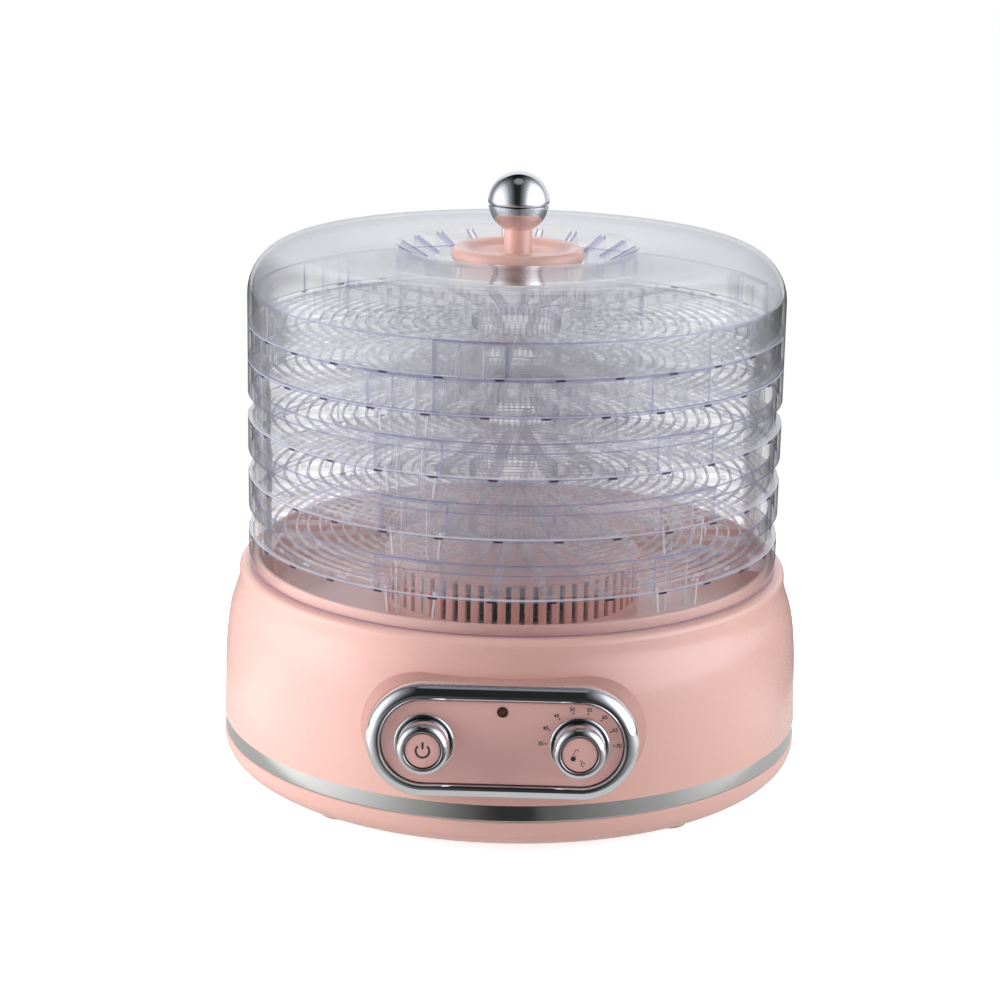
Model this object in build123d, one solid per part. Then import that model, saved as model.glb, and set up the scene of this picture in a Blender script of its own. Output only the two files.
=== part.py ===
"""Round five-tray food dehydrator: a fan-and-heater base, five stacking trays and a lid.

Millimetres, +Z up. The origin is on the vertical axis of the stack, on the surface that the
feet stand on. The control panel faces -Y.
"""
import os
from math import atan2, cos, degrees, hypot, radians, sin

from build123d import *

# ---- driving dimensions -------------------------------------------------------------------

# base housing
HOUSING_FOOT_R = 150.5
HOUSING_WALL = 2.6
HOUSING_BOTTOM_Z = 27.9
LEDGE_Z = 108.0
LIP_R = 142.2
LIP_ROUND = 3.6
DECK_Z = 88.0
DECK_THICK = 2.6
SEAT_RIM_TOP_Z = 113.4
SEAT_RIM_WALL = 2.6
UNDERSIDE_Z = 4.5
FOOT_R = 10.0
FOOT_CIRCLE_R = 126.0
FOOT_ANGLE = 40.5

# steel band between the housing and the bottom cover
BAND_R = 150.0
BAND_WALL = 1.0
BAND_BOTTOM_Z = 19.2
BAND_TOP_Z = 27.8

# air tower in the middle of the deck
TOWER_R = 66.5
TOWER_TOP_Z = 116.5
TOWER_SLATS = 60
SLAT_WIDTH = 4.2
SLAT_DEPTH = 3.0
DUCT_R = 58.4
DUCT_WALL = 0.8

# trays
SKIRT_R = 137.3
SKIRT_WALL = 1.8
SKIRT_DROP = 18.0
RIM_R = 134.5
RIM_WALL = 1.8
RIM_HEIGHT = 16.4
FLOOR_THICK = 1.6
FLOOR_SPOKES = 15
FLOOR_BAR_PITCH = 21.9
FLOOR_BARS = 4
FLOOR_BAR_WIDTH = 3.4
COLLAR_R = 22.4
COLLAR_WALL = 1.6
COLUMNS = 6
POCKET_WIDTH = 36.0
POCKET_INNER_R = 126.5
POCKET_WALL = 1.6
LEG_TOP_WIDTH = 27.0
LEG_FOOT_WIDTH = 24.6
LEG_OUTER_R = 130.6
COLUMN_RIB_SPACING = 13.0
COLUMN_RIB_WALL = 1.4
STACK_GAP = 0.3
EXTENDED_PITCH = 29.8

# lid and its handle
LID_WALL = 2.2
LID_HEIGHT = 39.2
LID_CORNER_R = 25.0
VENT_RIM_R = 61.5
VENT_FLOOR_R = 46.0
VENT_DEPTH = 9.2
VENT_SLOTS = 20
VENT_SLOT_WIDTH = 3.0
DISC_R = 34.0
STEM_R = 7.1
BALL_R = 15.5
BALL_RISE = 31.1

# control panel
PANEL_TILT = 4.0
PANEL_Y = -159.3
PANEL_Z = 62.9
BEZEL_LENGTH = 130.0
BEZEL_WIDTH = 55.8
BEZEL_FOOT = -7.0
BEZEL_CREST = 1.9
PLATE_LENGTH = 115.6
PLATE_WIDTH = 41.4
PLATE_THICK = 2.9
KNOB_SPACING = 73.4
KNOB_DROP = 0.2
COLLAR_RING_R = 14.5
KNOB_R = 12.4
KNOB_REACH = 15.6
CAP_R = 8.3
LENS_R = 2.6
LENS_RISE = 15.5
POINTER_TURN = 27.5
BOARD_DEPTH = 16.0
BOARD_THICK = 1.6
SHAFT_R = 3.0
RUNNING_GAP = 0.05

# trays from the bottom: name, height of the floor's top, turn of its columns about the axis
TRAY_5_FLOOR = LEDGE_Z + STACK_GAP + SKIRT_DROP
TRAY_2_FLOOR = TRAY_5_FLOOR + 3 * EXTENDED_PITCH
TRAY_1_FLOOR = TRAY_2_FLOOR + STACK_GAP + SKIRT_DROP
TRAYS = [
    ("tray_5", TRAY_5_FLOOR, -20.8),
    ("tray_4", TRAY_5_FLOOR + EXTENDED_PITCH, -19.7),
    ("tray_3", TRAY_5_FLOOR + 2 * EXTENDED_PITCH, -20.9),
    ("tray_2", TRAY_2_FLOOR, -22.7),
    ("tray_1", TRAY_1_FLOOR, -8.0),
]
LID_FOOT_Z = TRAY_1_FLOOR + STACK_GAP
LID_TOP_Z = LID_FOOT_Z + LID_HEIGHT
VENT_FLOOR_Z = LID_TOP_Z - VENT_DEPTH

PANEL = Plane(
    origin=(0, PANEL_Y, PANEL_Z),
    x_dir=(1, 0, 0),
    z_dir=(0, -cos(radians(PANEL_TILT)), sin(radians(PANEL_TILT))),
)


# ---- shared shapes ------------------------------------------------------------------------


def tube(outer_r, inner_r, low_z, high_z):
    """A plain ring about the stack's axis."""
    ring = Circle(outer_r) - Circle(inner_r)
    return Pos(0, 0, low_z) * extrude(ring, high_z - low_z)


def spun(*edges):
    """A solid of revolution from a closed outline, its x the radius and its y the height."""
    return revolve(Plane.XZ * make_face(edges), Axis.Z)


def turned(points):
    """A solid of revolution from straight-sided (radius, height) points."""
    return spun(Polyline(points, close=True))


def around(shape, count, start=0.0):
    """Copies of a shape evenly about the stack's axis, the first one turned by start degrees."""
    return [Rot(0, 0, start + 360 / count * i) * shape for i in range(count)]


def fused(shapes):
    """One solid from shapes that meet."""
    first, *rest = shapes
    return first.fuse(*rest)


def on_panel(shape, x=0.0, y=0.0, depth=0.0):
    """A shape set on the panel: x to the right, y up, depth out of the panel's face."""
    return PANEL.location * Pos(x, y, depth) * shape


def pillar(radius, low, high, x=0.0, y=0.0):
    """A short cylinder along +Z, from low to high."""
    return Pos(x, y, low) * extrude(Circle(radius), high - low)


def racetrack(length, width, low, high):
    """A flat-sided prism with round ends along +Z, from low to high."""
    return Pos(0, 0, low) * extrude(SlotOverall(length, width), high - low)


def screw(x, y, head_z, length, head_r=2.8, shank_r=1.5, head_height=2.0, up=False):
    """A cross-head screw on a vertical axis; head_z is the plane under its head."""
    turn = 180 if up else 0
    head = extrude(Circle(head_r), head_height)
    shank = Pos(0, 0, -length) * extrude(Circle(shank_r), length)
    slots = Rectangle(head_r * 1.1, 0.7) + Rectangle(0.7, head_r * 1.1)
    recess = Pos(0, 0, head_height - 0.8) * extrude(slots, 0.8)
    return Pos(x, y, head_z) * Rot(turn, 0, 0) * (head + shank - recess)


def polar(radius, angle):
    """The x and y of a place given by its radius and its angle from the front, +X to the right."""
    return radius * sin(radians(angle)), -radius * cos(radians(angle))


# ---- base: moulded shells -----------------------------------------------------------------

SEAT_RIM_R = RIM_R
BAND_SEAT_R = BAND_R - BAND_WALL - 0.1
LAP_WALL = 2.6
BOSS_CIRCLE_R = 118.0
BOSS_R = 4.5
BOSS_FOOT_Z = 10.0
BOSS_START = 30.0
COVER_SCREWS = 6
GLAND_Z = 45.0
GLAND_BODY_R = 7.4
GLAND_BORE_R = 3.6
GLAND_END_Y = 175.5
GLAND_SLEEVE_R = 5.0
PAD_TOP_Z = 110.5
PAD_ANGLE = 25.7
WALL_POINTS = [(149.9, 45.0), (148.3, 75.0), (145.2, 90.0), (142.8, 97.0)]


def housing_envelope(shrink):
    """The space inside the housing's outer wall, its radius less by shrink."""
    neck = (LIP_R - shrink, 101.0)
    foot = (HOUSING_FOOT_R - shrink, HOUSING_BOTTOM_Z)
    wall = [foot] + [(r - shrink, z) for r, z in WALL_POINTS] + [neck]
    side = Spline(wall)
    rise = Line((neck[0], neck[1]), (neck[0], LEDGE_Z - LIP_ROUND))
    lip = RadiusArc(
        (neck[0], LEDGE_Z - LIP_ROUND),
        (neck[0] - LIP_ROUND, LEDGE_Z),
        -LIP_ROUND,
    )
    back = Polyline(
        (neck[0] - LIP_ROUND, LEDGE_Z),
        (0, LEDGE_Z),
        (0, HOUSING_BOTTOM_Z),
        (foot[0], HOUSING_BOTTOM_Z),
    )
    return spun(side, rise, lip, back)


def base_housing():
    """The pink top shell: wall, panel boss, tray ledge, seat rim, sunk deck and screw bosses."""
    boss = extrude(SlotOverall(BEZEL_LENGTH + 0.6, BEZEL_WIDTH + 0.6), -34, taper=-10)
    boss = on_panel(boss, depth=BEZEL_FOOT) - pillar(200, 0, HOUSING_BOTTOM_Z)
    outer = housing_envelope(0) + boss
    inner = housing_envelope(HOUSING_WALL) - pillar(200, LEDGE_Z - HOUSING_WALL, 200)
    shell = outer - inner
    # the seat rim stands above the ledge, and the deck hangs inside it
    rim_in = SEAT_RIM_R - SEAT_RIM_WALL
    well_r = rim_in - 5.5
    shell = shell - pillar(rim_in, LEDGE_Z - HOUSING_WALL, LEDGE_Z + 1)
    deck = turned(
        [
            (SEAT_RIM_R, LEDGE_Z - HOUSING_WALL),
            (SEAT_RIM_R, SEAT_RIM_TOP_Z - 1),
            (SEAT_RIM_R - 1, SEAT_RIM_TOP_Z),
            (rim_in, SEAT_RIM_TOP_Z),
            (well_r, DECK_Z),
            (DUCT_R + DECK_THICK, DECK_Z),
            (DUCT_R + DECK_THICK, DECK_Z - DECK_THICK),
            (well_r + DECK_THICK, DECK_Z - DECK_THICK),
            (rim_in + 0.8, LEDGE_Z - HOUSING_WALL),
        ]
    )
    lap = turned(
        [
            (HOUSING_FOOT_R, HOUSING_BOTTOM_Z),
            (BAND_SEAT_R, HOUSING_BOTTOM_Z),
            (BAND_SEAT_R, BAND_BOTTOM_Z),
            (BAND_SEAT_R - LAP_WALL, BAND_BOTTOM_Z),
            (BAND_SEAT_R - LAP_WALL, HOUSING_BOTTOM_Z + 3),
            (HOUSING_FOOT_R - HOUSING_WALL + 0.6, HOUSING_BOTTOM_Z + 3),
        ]
    )
    bosses = []
    for place in around(Pos(0, -BOSS_CIRCLE_R, 0), COVER_SCREWS, BOSS_START):
        post = Pos(0, 0, BOSS_FOOT_Z) * extrude(Circle(BOSS_R), DECK_Z - 1 - BOSS_FOOT_Z)
        bosses.append(place * post)
    pad = extrude(Rectangle(30, 9), PAD_TOP_Z - DECK_Z + 1)
    pad = Pos(0, -(POCKET_INNER_R + 1.5), DECK_Z - 1) * pad
    pads = around(pad, COLUMNS, PAD_ANGLE)
    shell = fused([shell, deck, lap] + bosses + pads)
    pilot = Pos(0, -BOSS_CIRCLE_R, BOSS_FOOT_Z - 1) * extrude(Circle(1.55), 18)
    shell = shell - around(pilot, COVER_SCREWS, BOSS_START)
    # window behind the panel plate, and holes for the bezel's pins
    shell = shell - on_panel(racetrack(WINDOW_LENGTH, WINDOW_WIDTH, -47, 1))
    for x, y in BEZEL_PINS:
        shell = shell - on_panel(pillar(BEZEL_PIN_R + RUNNING_GAP, BEZEL_FOOT - 8, 1), x, y)
    cord_hole = Rot(-90, 0, 0) * extrude(Circle(GLAND_BODY_R), 20)
    return shell - Pos(0, HOUSING_FOOT_R - 10, GLAND_Z) * cord_hole


def trim_band():
    """A polished steel strip rolled into a hoop, held between the two shells."""
    return tube(BAND_R, BAND_R - BAND_WALL, BAND_BOTTOM_Z, BAND_TOP_Z)


COVER_R = 150.4
COVER_WALL = 2.5
COVER_FLOOR_R = 139.0
POST_CIRCLE_R = 66.0
BRACKET_POST_Z = 26.0
DUCT_POST_Z = 30.0
DUCT_POST_START = 60.0


def cover_outline(inset):
    """The bottom cover's dish, its skin moved in by inset."""
    floor_z = UNDERSIDE_Z + inset
    bottom = Line((0, floor_z), (COVER_FLOOR_R, floor_z))
    turn = ThreePointArc(
        (COVER_FLOOR_R, floor_z),
        (147.0 - inset * 0.8, 8.0 + inset * 0.5),
        (COVER_R - inset, 14.5),
    )
    side = Polyline(
        (COVER_R - inset, 14.5),
        (COVER_R - inset, BAND_BOTTOM_Z - 0.1),
        (0, BAND_BOTTOM_Z - 0.1),
        (0, floor_z),
    )
    return spun(bottom, turn, side)


def bottom_cover():
    """The pink dish that closes the base, with the fan's air intake and the inner posts."""
    cover = cover_outline(0) - cover_outline(COVER_WALL)
    posts = []
    for top_z, start in ((BRACKET_POST_Z, 0.0), (DUCT_POST_Z, DUCT_POST_START)):
        post = Pos(0, -POST_CIRCLE_R, UNDERSIDE_Z + 1) * extrude(Circle(4.2), top_z - UNDERSIDE_Z - 1)
        posts += around(post, 3, start)
    cover = fused([cover] + posts)
    for top_z, start in ((BRACKET_POST_Z, 0.0), (DUCT_POST_Z, DUCT_POST_START)):
        pilot = Pos(0, -POST_CIRCLE_R, top_z - 12) * extrude(Circle(1.55), 13)
        cover = cover - around(pilot, 3, start)
    cuts = []
    for inner, outer, count in ((12, 26, 12), (30, 43, 20), (47, 58, 30)):
        slot = Rot(0, 0, -90) * SlotOverall(outer - inner, 3.4)
        cuts += around(Pos(0, -(inner + outer) / 2, 0) * extrude(slot, 10), count)
    for place in around(Pos(0, -BOSS_CIRCLE_R, 0), COVER_SCREWS, BOSS_START):
        cuts.append(place * extrude(Circle(1.6), 10))
    return cover - cuts


def feet():
    """Four pads pressed on under the bottom cover."""
    pad = extrude(Circle(FOOT_R), UNDERSIDE_Z)
    pad = fillet(pad.edges().group_by(Axis.Z)[0], 1.5)
    angles = (-FOOT_ANGLE, FOOT_ANGLE, 180 - FOOT_ANGLE, 180 + FOOT_ANGLE)
    return Compound(children=[Pos(*polar(FOOT_CIRCLE_R, a), 0) * copy_of(pad) for a in angles])


def copy_of(shape):
    """A separate copy, so that each solid of a group can be placed by itself."""
    return Pos(0, 0, 0) * shape


def cover_screws():
    """Six screws, heads down, that join the bottom cover to the housing's bosses."""
    one = screw(0, -BOSS_CIRCLE_R, UNDERSIDE_Z, 16, up=True, head_r=2.8)
    return Compound(children=around(one, COVER_SCREWS, BOSS_START))


def cord_gland():
    """The bush in the back wall for the mains lead, with a sleeve that saves it from sharp bends.

    The sleeve reaches as far behind the axis as the controls stand in front of it.
    """
    outside_y = HOUSING_FOOT_R + 3.0
    body = extrude(Circle(GLAND_BODY_R - 0.05), 20)
    flange = extrude(Circle(GLAND_BODY_R + 2.6), 2.6)
    nut = Pos(0, 0, 7.5) * extrude(RegularPolygon(GLAND_BODY_R + 2.2, 6), 3.5)
    flange = fillet(flange.edges().group_by(Axis.Z)[0], 1.0)
    reach = GLAND_END_Y - outside_y
    sleeve = Pos(0, 0, -reach) * extrude(Circle(GLAND_SLEEVE_R), reach + 1, taper=-4)
    bush = body + flange + nut + sleeve
    bush = bush - Pos(0, 0, -reach) * extrude(Circle(GLAND_BORE_R), reach + 20)
    return Pos(0, outside_y, GLAND_Z) * Rot(90, 0, 0) * bush


# ---- base: air tower, fan and heater ------------------------------------------------------

SPIGOT_DROP = 8.0
FAN_LOW_Z = 33.0
FAN_HIGH_Z = 45.0
FAN_TIP_R = 54.5
FAN_HUB_R = 12.0
FAN_BLADES = 7
BLADE_PITCH = 32.0
MOTOR_R = 16.5
MOTOR_LOW_Z = 9.0
MOTOR_TOP_Z = 25.9
MOTOR_SHAFT_R = 1.6
BRACKET_THICK = 2.0
HEATER_LOW_Z = 50.0
HEATER_HIGH_Z = 72.0
COIL_Z = 61.0
COIL_RADII = (18.0, 31.0, 44.0)
COIL_WIRE_R = 1.8


def air_tower():
    """The slatted hood in the deck: warm air leaves it sideways, and drips run off its cap."""
    inner = TOWER_R - SLAT_DEPTH
    foot = tube(TOWER_R, DUCT_R + 0.1, DECK_Z, DECK_Z + 2.5)
    spigot = tube(DUCT_R + DECK_THICK - 0.05, DUCT_R + 0.1, DECK_Z - SPIGOT_DROP, DECK_Z + 1)
    cap = turned(
        [
            (0, TOWER_TOP_Z),
            (TOWER_R - 8, TOWER_TOP_Z - 0.8),
            (TOWER_R - 1.5, TOWER_TOP_Z - 2.2),
            (TOWER_R, TOWER_TOP_Z - 3.6),
            (TOWER_R, TOWER_TOP_Z - 5),
            (inner, TOWER_TOP_Z - 5),
            (0, TOWER_TOP_Z - 3),
        ]
    )
    low = DECK_Z + 2
    slat = Pos(0, -(TOWER_R - SLAT_DEPTH / 2), low) * extrude(
        Rectangle(SLAT_WIDTH, SLAT_DEPTH - 0.2), TOWER_TOP_Z - 4.5 - low
    )
    return fused([foot, spigot, cap] + around(slat, TOWER_SLATS))


def fan_motor():
    """A small shaded-pole motor can with a bearing nose."""
    can = Pos(0, 0, MOTOR_LOW_Z) * extrude(Circle(MOTOR_R), MOTOR_TOP_Z - MOTOR_LOW_Z)
    can = fillet(can.edges(), 1.5)
    nose = Pos(0, 0, MOTOR_TOP_Z - 1) * extrude(Circle(4), 4.5)
    bore = Pos(0, 0, MOTOR_LOW_Z + 2) * extrude(Circle(MOTOR_SHAFT_R + RUNNING_GAP), 30)
    pilots = [Pos(x, 0, MOTOR_TOP_Z - 5) * extrude(Circle(1.05), 6) for x in (-10, 10)]
    return can + nose - bore - pilots


def motor_bracket():
    """A three-armed steel spider that carries the motor under the fan."""
    low = BRACKET_POST_Z
    hub = Circle(19)
    arm = Pos(0, -(POST_CIRCLE_R + 6) / 2, 0) * Rectangle(10, POST_CIRCLE_R + 6)
    plan = Sketch() + [hub] + around(arm, 3)
    holes = [Circle(4.1)] + [Pos(x, 0, 0) * Circle(1.05) for x in (-10, 10)]
    holes += around(Pos(0, -POST_CIRCLE_R, 0) * Circle(1.55), 3)
    return Pos(0, 0, low) * extrude(plan - holes, BRACKET_THICK)


def motor_screws():
    """Two small screws that hold the motor up to its bracket."""
    top = BRACKET_POST_Z + BRACKET_THICK
    ends = [screw(x, 0, top, 6, head_r=1.9, shank_r=1.0, head_height=1.4) for x in (-10, 10)]
    return Compound(children=ends)


def bracket_screws():
    """Three screws through the bracket's arms into the short posts."""
    one = screw(0, -POST_CIRCLE_R, BRACKET_POST_Z + BRACKET_THICK, 10)
    return Compound(children=around(one, 3))


def duct_screws():
    """Three screws through the duct's ears into the tall posts."""
    one = screw(0, -POST_CIRCLE_R, DUCT_POST_Z + DUCT_EAR, 10)
    return Compound(children=around(one, 3, DUCT_POST_START))


DUCT_EAR = 1.2


def heat_duct():
    """The sheet-steel sleeve round fan and heater, with three fixing ears."""
    top = DECK_Z - 2
    sleeve = tube(DUCT_R, DUCT_R - DUCT_WALL, DUCT_POST_Z, top)
    ear = Pos(0, -(POST_CIRCLE_R + 1), DUCT_POST_Z) * extrude(Rectangle(11, 18), DUCT_EAR)
    ear = ear - pillar(DUCT_R - DUCT_WALL, DUCT_POST_Z - 1, DUCT_POST_Z + 3)
    hole = Pos(0, -POST_CIRCLE_R, DUCT_POST_Z - 1) * extrude(Circle(1.55), 4)
    return fused([sleeve] + around(ear, 3, DUCT_POST_START)) - around(hole, 3, DUCT_POST_START)


def heater_frame():
    """Two mica plates slotted into a cross, which hold the heating wire."""
    reach = 2 * (DUCT_R - DUCT_WALL) - 0.3
    height = HEATER_HIGH_Z - HEATER_LOW_Z
    plate = Pos(0, 0, (HEATER_LOW_Z + HEATER_HIGH_Z) / 2) * Box(reach, 1.2, height)
    frame = plate + Rot(0, 0, 90) * plate
    for radius in COIL_RADII:
        frame = frame - Pos(0, 0, COIL_Z) * Torus(radius, COIL_WIRE_R + 0.1)
    return frame


def heater_coil():
    """Three rings of coiled resistance wire, drawn as the coil's outer tube."""
    rings = [Pos(0, 0, COIL_Z) * Torus(radius, COIL_WIRE_R) for radius in COIL_RADII]
    return Compound(children=rings)


def thermal_cutout():
    """The one-shot safety cut-out clipped to the top of the heater's frame."""
    body = Pos(24, 0, HEATER_HIGH_Z + 3.2) * Rot(0, 90, 0) * Cylinder(3.2, 12)
    leads = Pos(24, 0, HEATER_HIGH_Z + 3.2) * Rot(0, 90, 0) * Cylinder(0.8, 24)
    return body + leads


def terminal_block():
    """The block that joins the mains lead to the inner wires."""
    block = Pos(0, 100, UNDERSIDE_Z + COVER_WALL + 6) * Box(26, 15, 12)
    heads = [Pos(x, 100, UNDERSIDE_Z + COVER_WALL + 8) * Cylinder(2.2, 10) for x in (-8, 0, 8)]
    return block - heads


def terminal_screws():
    """Three brass clamp screws in the terminal block."""
    low = UNDERSIDE_Z + COVER_WALL + 3
    return Compound(children=[Pos(x, 100, low) * extrude(Circle(2.1), 6.5) for x in (-8, 0, 8)])


WIRE_R = 1.1


def wire(points, radius):
    """One insulated wire along straight runs with rounded corners."""
    path = FilletPolyline(*points, radius=radius)
    section = Plane(origin=path @ 0, z_dir=path % 0) * Circle(WIRE_R)
    return sweep(section, path)


def wiring():
    """Inner wires: block to board, and block to motor and heater."""
    block_top = UNDERSIDE_Z + COVER_WALL + 9
    to_board = [
        (-11, 92.4, block_top),
        (-11, 82, block_top),
        (-94, 34, 20),
        (-94, -80, 24),
        (-40, -141.85, 50.4),
    ]
    to_motor = [
        (-5, 92.4, block_top),
        (-10, 72, block_top),
        (-10, 50, 14),
        (-6, 16.4, 14),
    ]
    to_heater = [
        (7, 92.4, block_top),
        (7, 78, block_top),
        (7, 70, 34),
        (7, 70, 60),
        (7, 59.6, 60),
    ]
    return Compound(children=[wire(to_board, 9), wire(to_motor, 8), wire(to_heater, 5)])


# ---- base: control panel ------------------------------------------------------------------

BEZEL_PIN_R = 1.5
BEZEL_PINS = [(-38, 24.4), (38, 24.4), (-38, -24.4), (38, -24.4)]
BEZEL_OUTER_ROUND = 5.0
BEZEL_INNER_ROUND = 1.6
WINDOW_LENGTH = PLATE_LENGTH - 4.4
WINDOW_WIDTH = PLATE_WIDTH - 4.4
KNOB_PLACES = {"power": (-KNOB_SPACING / 2, -KNOB_DROP), "temp": (KNOB_SPACING / 2, -KNOB_DROP)}
LENS_PLACE = (0.0, LENS_RISE - KNOB_DROP)
COLLAR_HEIGHT = 3.2
COLLAR_HOLE_R = 12.95
BOARD_FACE = -BOARD_DEPTH
BOARD_POSTS = [(-20, 12), (20, 12), (-20, -13), (20, -13)]
BOARD_LENGTH = 106.0
BOARD_WIDTH = 34.6


def panel_bezel():
    """The chrome-plated racetrack frame, with a ledge for the plate and four pins to the boss."""
    ring = racetrack(BEZEL_LENGTH, BEZEL_WIDTH, BEZEL_FOOT, BEZEL_CREST)
    ring = fillet(ring.edges().group_by(Axis.Z)[-1], BEZEL_OUTER_ROUND)
    ring = ring - racetrack(PLATE_LENGTH + 0.1, PLATE_WIDTH + 0.1, -PLATE_THICK, BEZEL_CREST + 1)
    ring = fillet(ring.edges().group_by(Axis.Z)[-1], BEZEL_INNER_ROUND)
    ring = ring - racetrack(WINDOW_LENGTH, WINDOW_WIDTH, BEZEL_FOOT - 1, BEZEL_CREST + 1)
    pins = [pillar(BEZEL_PIN_R, BEZEL_FOOT - 7, BEZEL_FOOT + 0.5, x, y) for x, y in BEZEL_PINS]
    return on_panel(fused([ring] + pins))


def panel_plate():
    """The pink plate inside the bezel, with holes for both controls and posts for the board."""
    plate = racetrack(PLATE_LENGTH, PLATE_WIDTH, -PLATE_THICK, 0)
    for x, y in KNOB_PLACES.values():
        plate = plate - pillar(COLLAR_HOLE_R, -PLATE_THICK - 1, 1, x, y)
    plate = plate - pillar(LENS_R + RUNNING_GAP, -PLATE_THICK - 1, 1, *LENS_PLACE)
    posts = [pillar(2.6, BOARD_FACE, -PLATE_THICK + 0.5, x, y) for x, y in BOARD_POSTS]
    pilots = [pillar(0.95, BOARD_FACE - 1, -PLATE_THICK - 1, x, y) for x, y in BOARD_POSTS]
    return on_panel(fused([plate] + posts) - pilots)


def collar_ring(name):
    """The chrome ring that stands on the plate round a control."""
    ring = pillar(COLLAR_RING_R, 0, COLLAR_HEIGHT) - pillar(COLLAR_HOLE_R, -1, COLLAR_HEIGHT + 1)
    ring = fillet(ring.edges().group_by(Axis.Z)[-1], 0.7)
    return on_panel(ring, *KNOB_PLACES[name])


def indicator_lens():
    """The lamp's lens, domed and pressed into the plate."""
    lens = pillar(LENS_R, -PLATE_THICK, 0.5)
    lens = fillet(lens.edges().group_by(Axis.Z)[-1], 0.45)
    return on_panel(lens, *LENS_PLACE)


def indicator_led():
    """The lamp itself, standing on the board behind its lens."""
    return on_panel(pillar(1.5, BOARD_FACE, -PLATE_THICK - 0.2), *LENS_PLACE)


def control_board():
    """The circuit board behind the plate."""
    board = racetrack(BOARD_LENGTH, BOARD_WIDTH, BOARD_FACE - BOARD_THICK, BOARD_FACE)
    for x, y in BOARD_POSTS:
        board = board - pillar(1.1, BOARD_FACE - 5, BOARD_FACE + 1, x, y)
    return on_panel(board)


def board_screws():
    """Four small screws from behind the board into the plate's posts."""
    back = BOARD_FACE - BOARD_THICK
    screws = []
    for x, y in BOARD_POSTS:
        head = pillar(1.8, back - 1.2, back, x, y)
        screws.append(on_panel(head + pillar(0.9, back - 0.1, back + 7, x, y)))
    return Compound(children=screws)


SWITCH_TOP = -6.0
STEM_R_BUTTON = 2.5
STEM_REST_DEPTH = -8.5


def power_switch():
    """The latching push switch on the board, open in front for the button's stem."""
    height = SWITCH_TOP - BOARD_FACE
    body = Pos(0, 0, BOARD_FACE + height / 2) * Box(13, 13, height)
    well = pillar(STEM_R_BUTTON + RUNNING_GAP, BOARD_FACE + 2, 0)
    return on_panel(body - well, *KNOB_PLACES["power"])


POT_TOP = -8.0
SHAFT_END = -14.0


def temp_control():
    """The rotary control on the board, with a threaded neck for its shaft."""
    can = pillar(8.0, BOARD_FACE, POT_TOP) + pillar(4.4, POT_TOP - 1, -4.5)
    bore = pillar(SHAFT_R + RUNNING_GAP, SHAFT_END - 0.5, 0)
    return on_panel(can - bore, *KNOB_PLACES["temp"])


# ---- moving controls ----------------------------------------------------------------------

KNOB_REAR = -2.4
KNOB_NOSE_ROUND = 3.2
CAP_FACE = KNOB_REACH - 0.4
CAP_THICK = 2.5


def knob_ring():
    """A chrome-plated ring with a rounded nose, open through the middle for its cap."""
    ring = pillar(KNOB_R, KNOB_REAR, KNOB_REACH)
    ring = fillet(ring.edges().group_by(Axis.Z)[-1], KNOB_NOSE_ROUND)
    bore = pillar(CAP_R + 0.35, KNOB_REACH - 4, KNOB_REACH + 1)
    hollow = pillar(KNOB_R - 1.6, KNOB_REAR - 1, KNOB_REACH - 6)
    neck = pillar(4.0, KNOB_REACH - 7, KNOB_REACH - 3)
    return ring - bore - hollow - neck


def knob_cap():
    """The pink cap in the ring's mouth, with a spigot through the ring's web."""
    face = pillar(CAP_R, CAP_FACE - CAP_THICK, CAP_FACE)
    face = fillet(face.edges().group_by(Axis.Z)[-1], 0.6)
    return face + pillar(3.9, KNOB_REACH - 7, CAP_FACE - CAP_THICK + 0.5)


def clip_disc():
    """The disc at the end of a control's stem or shaft, which its ring clips onto."""
    return pillar(KNOB_R - 1.7, KNOB_REACH - 9, KNOB_REACH - 7)


def power_button_ring():
    """The power button's chrome ring."""
    return on_panel(knob_ring(), *KNOB_PLACES["power"])


def power_button_cap():
    """The power button's pink cap."""
    return on_panel(knob_cap(), *KNOB_PLACES["power"])


def power_button_stem():
    """The stem that works the switch, with the disc that the ring clips onto."""
    stem = pillar(STEM_R_BUTTON, STEM_REST_DEPTH, KNOB_REACH - 9)
    return on_panel(stem + clip_disc(), *KNOB_PLACES["power"])


def temp_knob_ring():
    """The temperature knob's chrome ring, with the pointer's notch in its nose."""
    notch = Pos(-KNOB_R, 0, KNOB_REACH) * Rot(0, 45, 0) * Box(3.0, 0.9, 1.6)
    turn = Rot(0, 0, -POINTER_TURN)
    return on_panel(turn * (knob_ring() - notch), *KNOB_PLACES["temp"])


def temp_knob_cap():
    """The temperature knob's pink cap."""
    return on_panel(knob_cap(), *KNOB_PLACES["temp"])


def temp_knob_shaft():
    """The steel shaft that joins the knob to the rotary control."""
    shaft = pillar(SHAFT_R, SHAFT_END, KNOB_REACH - 9)
    return on_panel(shaft + clip_disc(), *KNOB_PLACES["temp"])


# ---- fan ----------------------------------------------------------------------------------


def fan_impeller():
    """The fan's hub and its pitched blades."""
    height = FAN_HIGH_Z - FAN_LOW_Z
    middle = (FAN_HIGH_Z + FAN_LOW_Z) / 2
    hub = Pos(0, 0, FAN_LOW_Z) * extrude(Circle(FAN_HUB_R), height)
    hub = fillet(hub.edges().group_by(Axis.Z)[-1], 2.5)
    length = FAN_TIP_R - FAN_HUB_R + 2
    flat = Rot(0, -BLADE_PITCH, 0) * Box(21, length, 1.6)
    blade = Pos(0, -(FAN_HUB_R - 2 + length / 2), middle) * flat
    blade = blade & pillar(FAN_TIP_R, FAN_LOW_Z + 0.4, FAN_HIGH_Z - 0.4)
    bore = Pos(0, 0, FAN_LOW_Z - 1) * extrude(Circle(MOTOR_SHAFT_R), height - 1)
    return fused([hub] + around(blade, FAN_BLADES)) - bore


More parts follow.
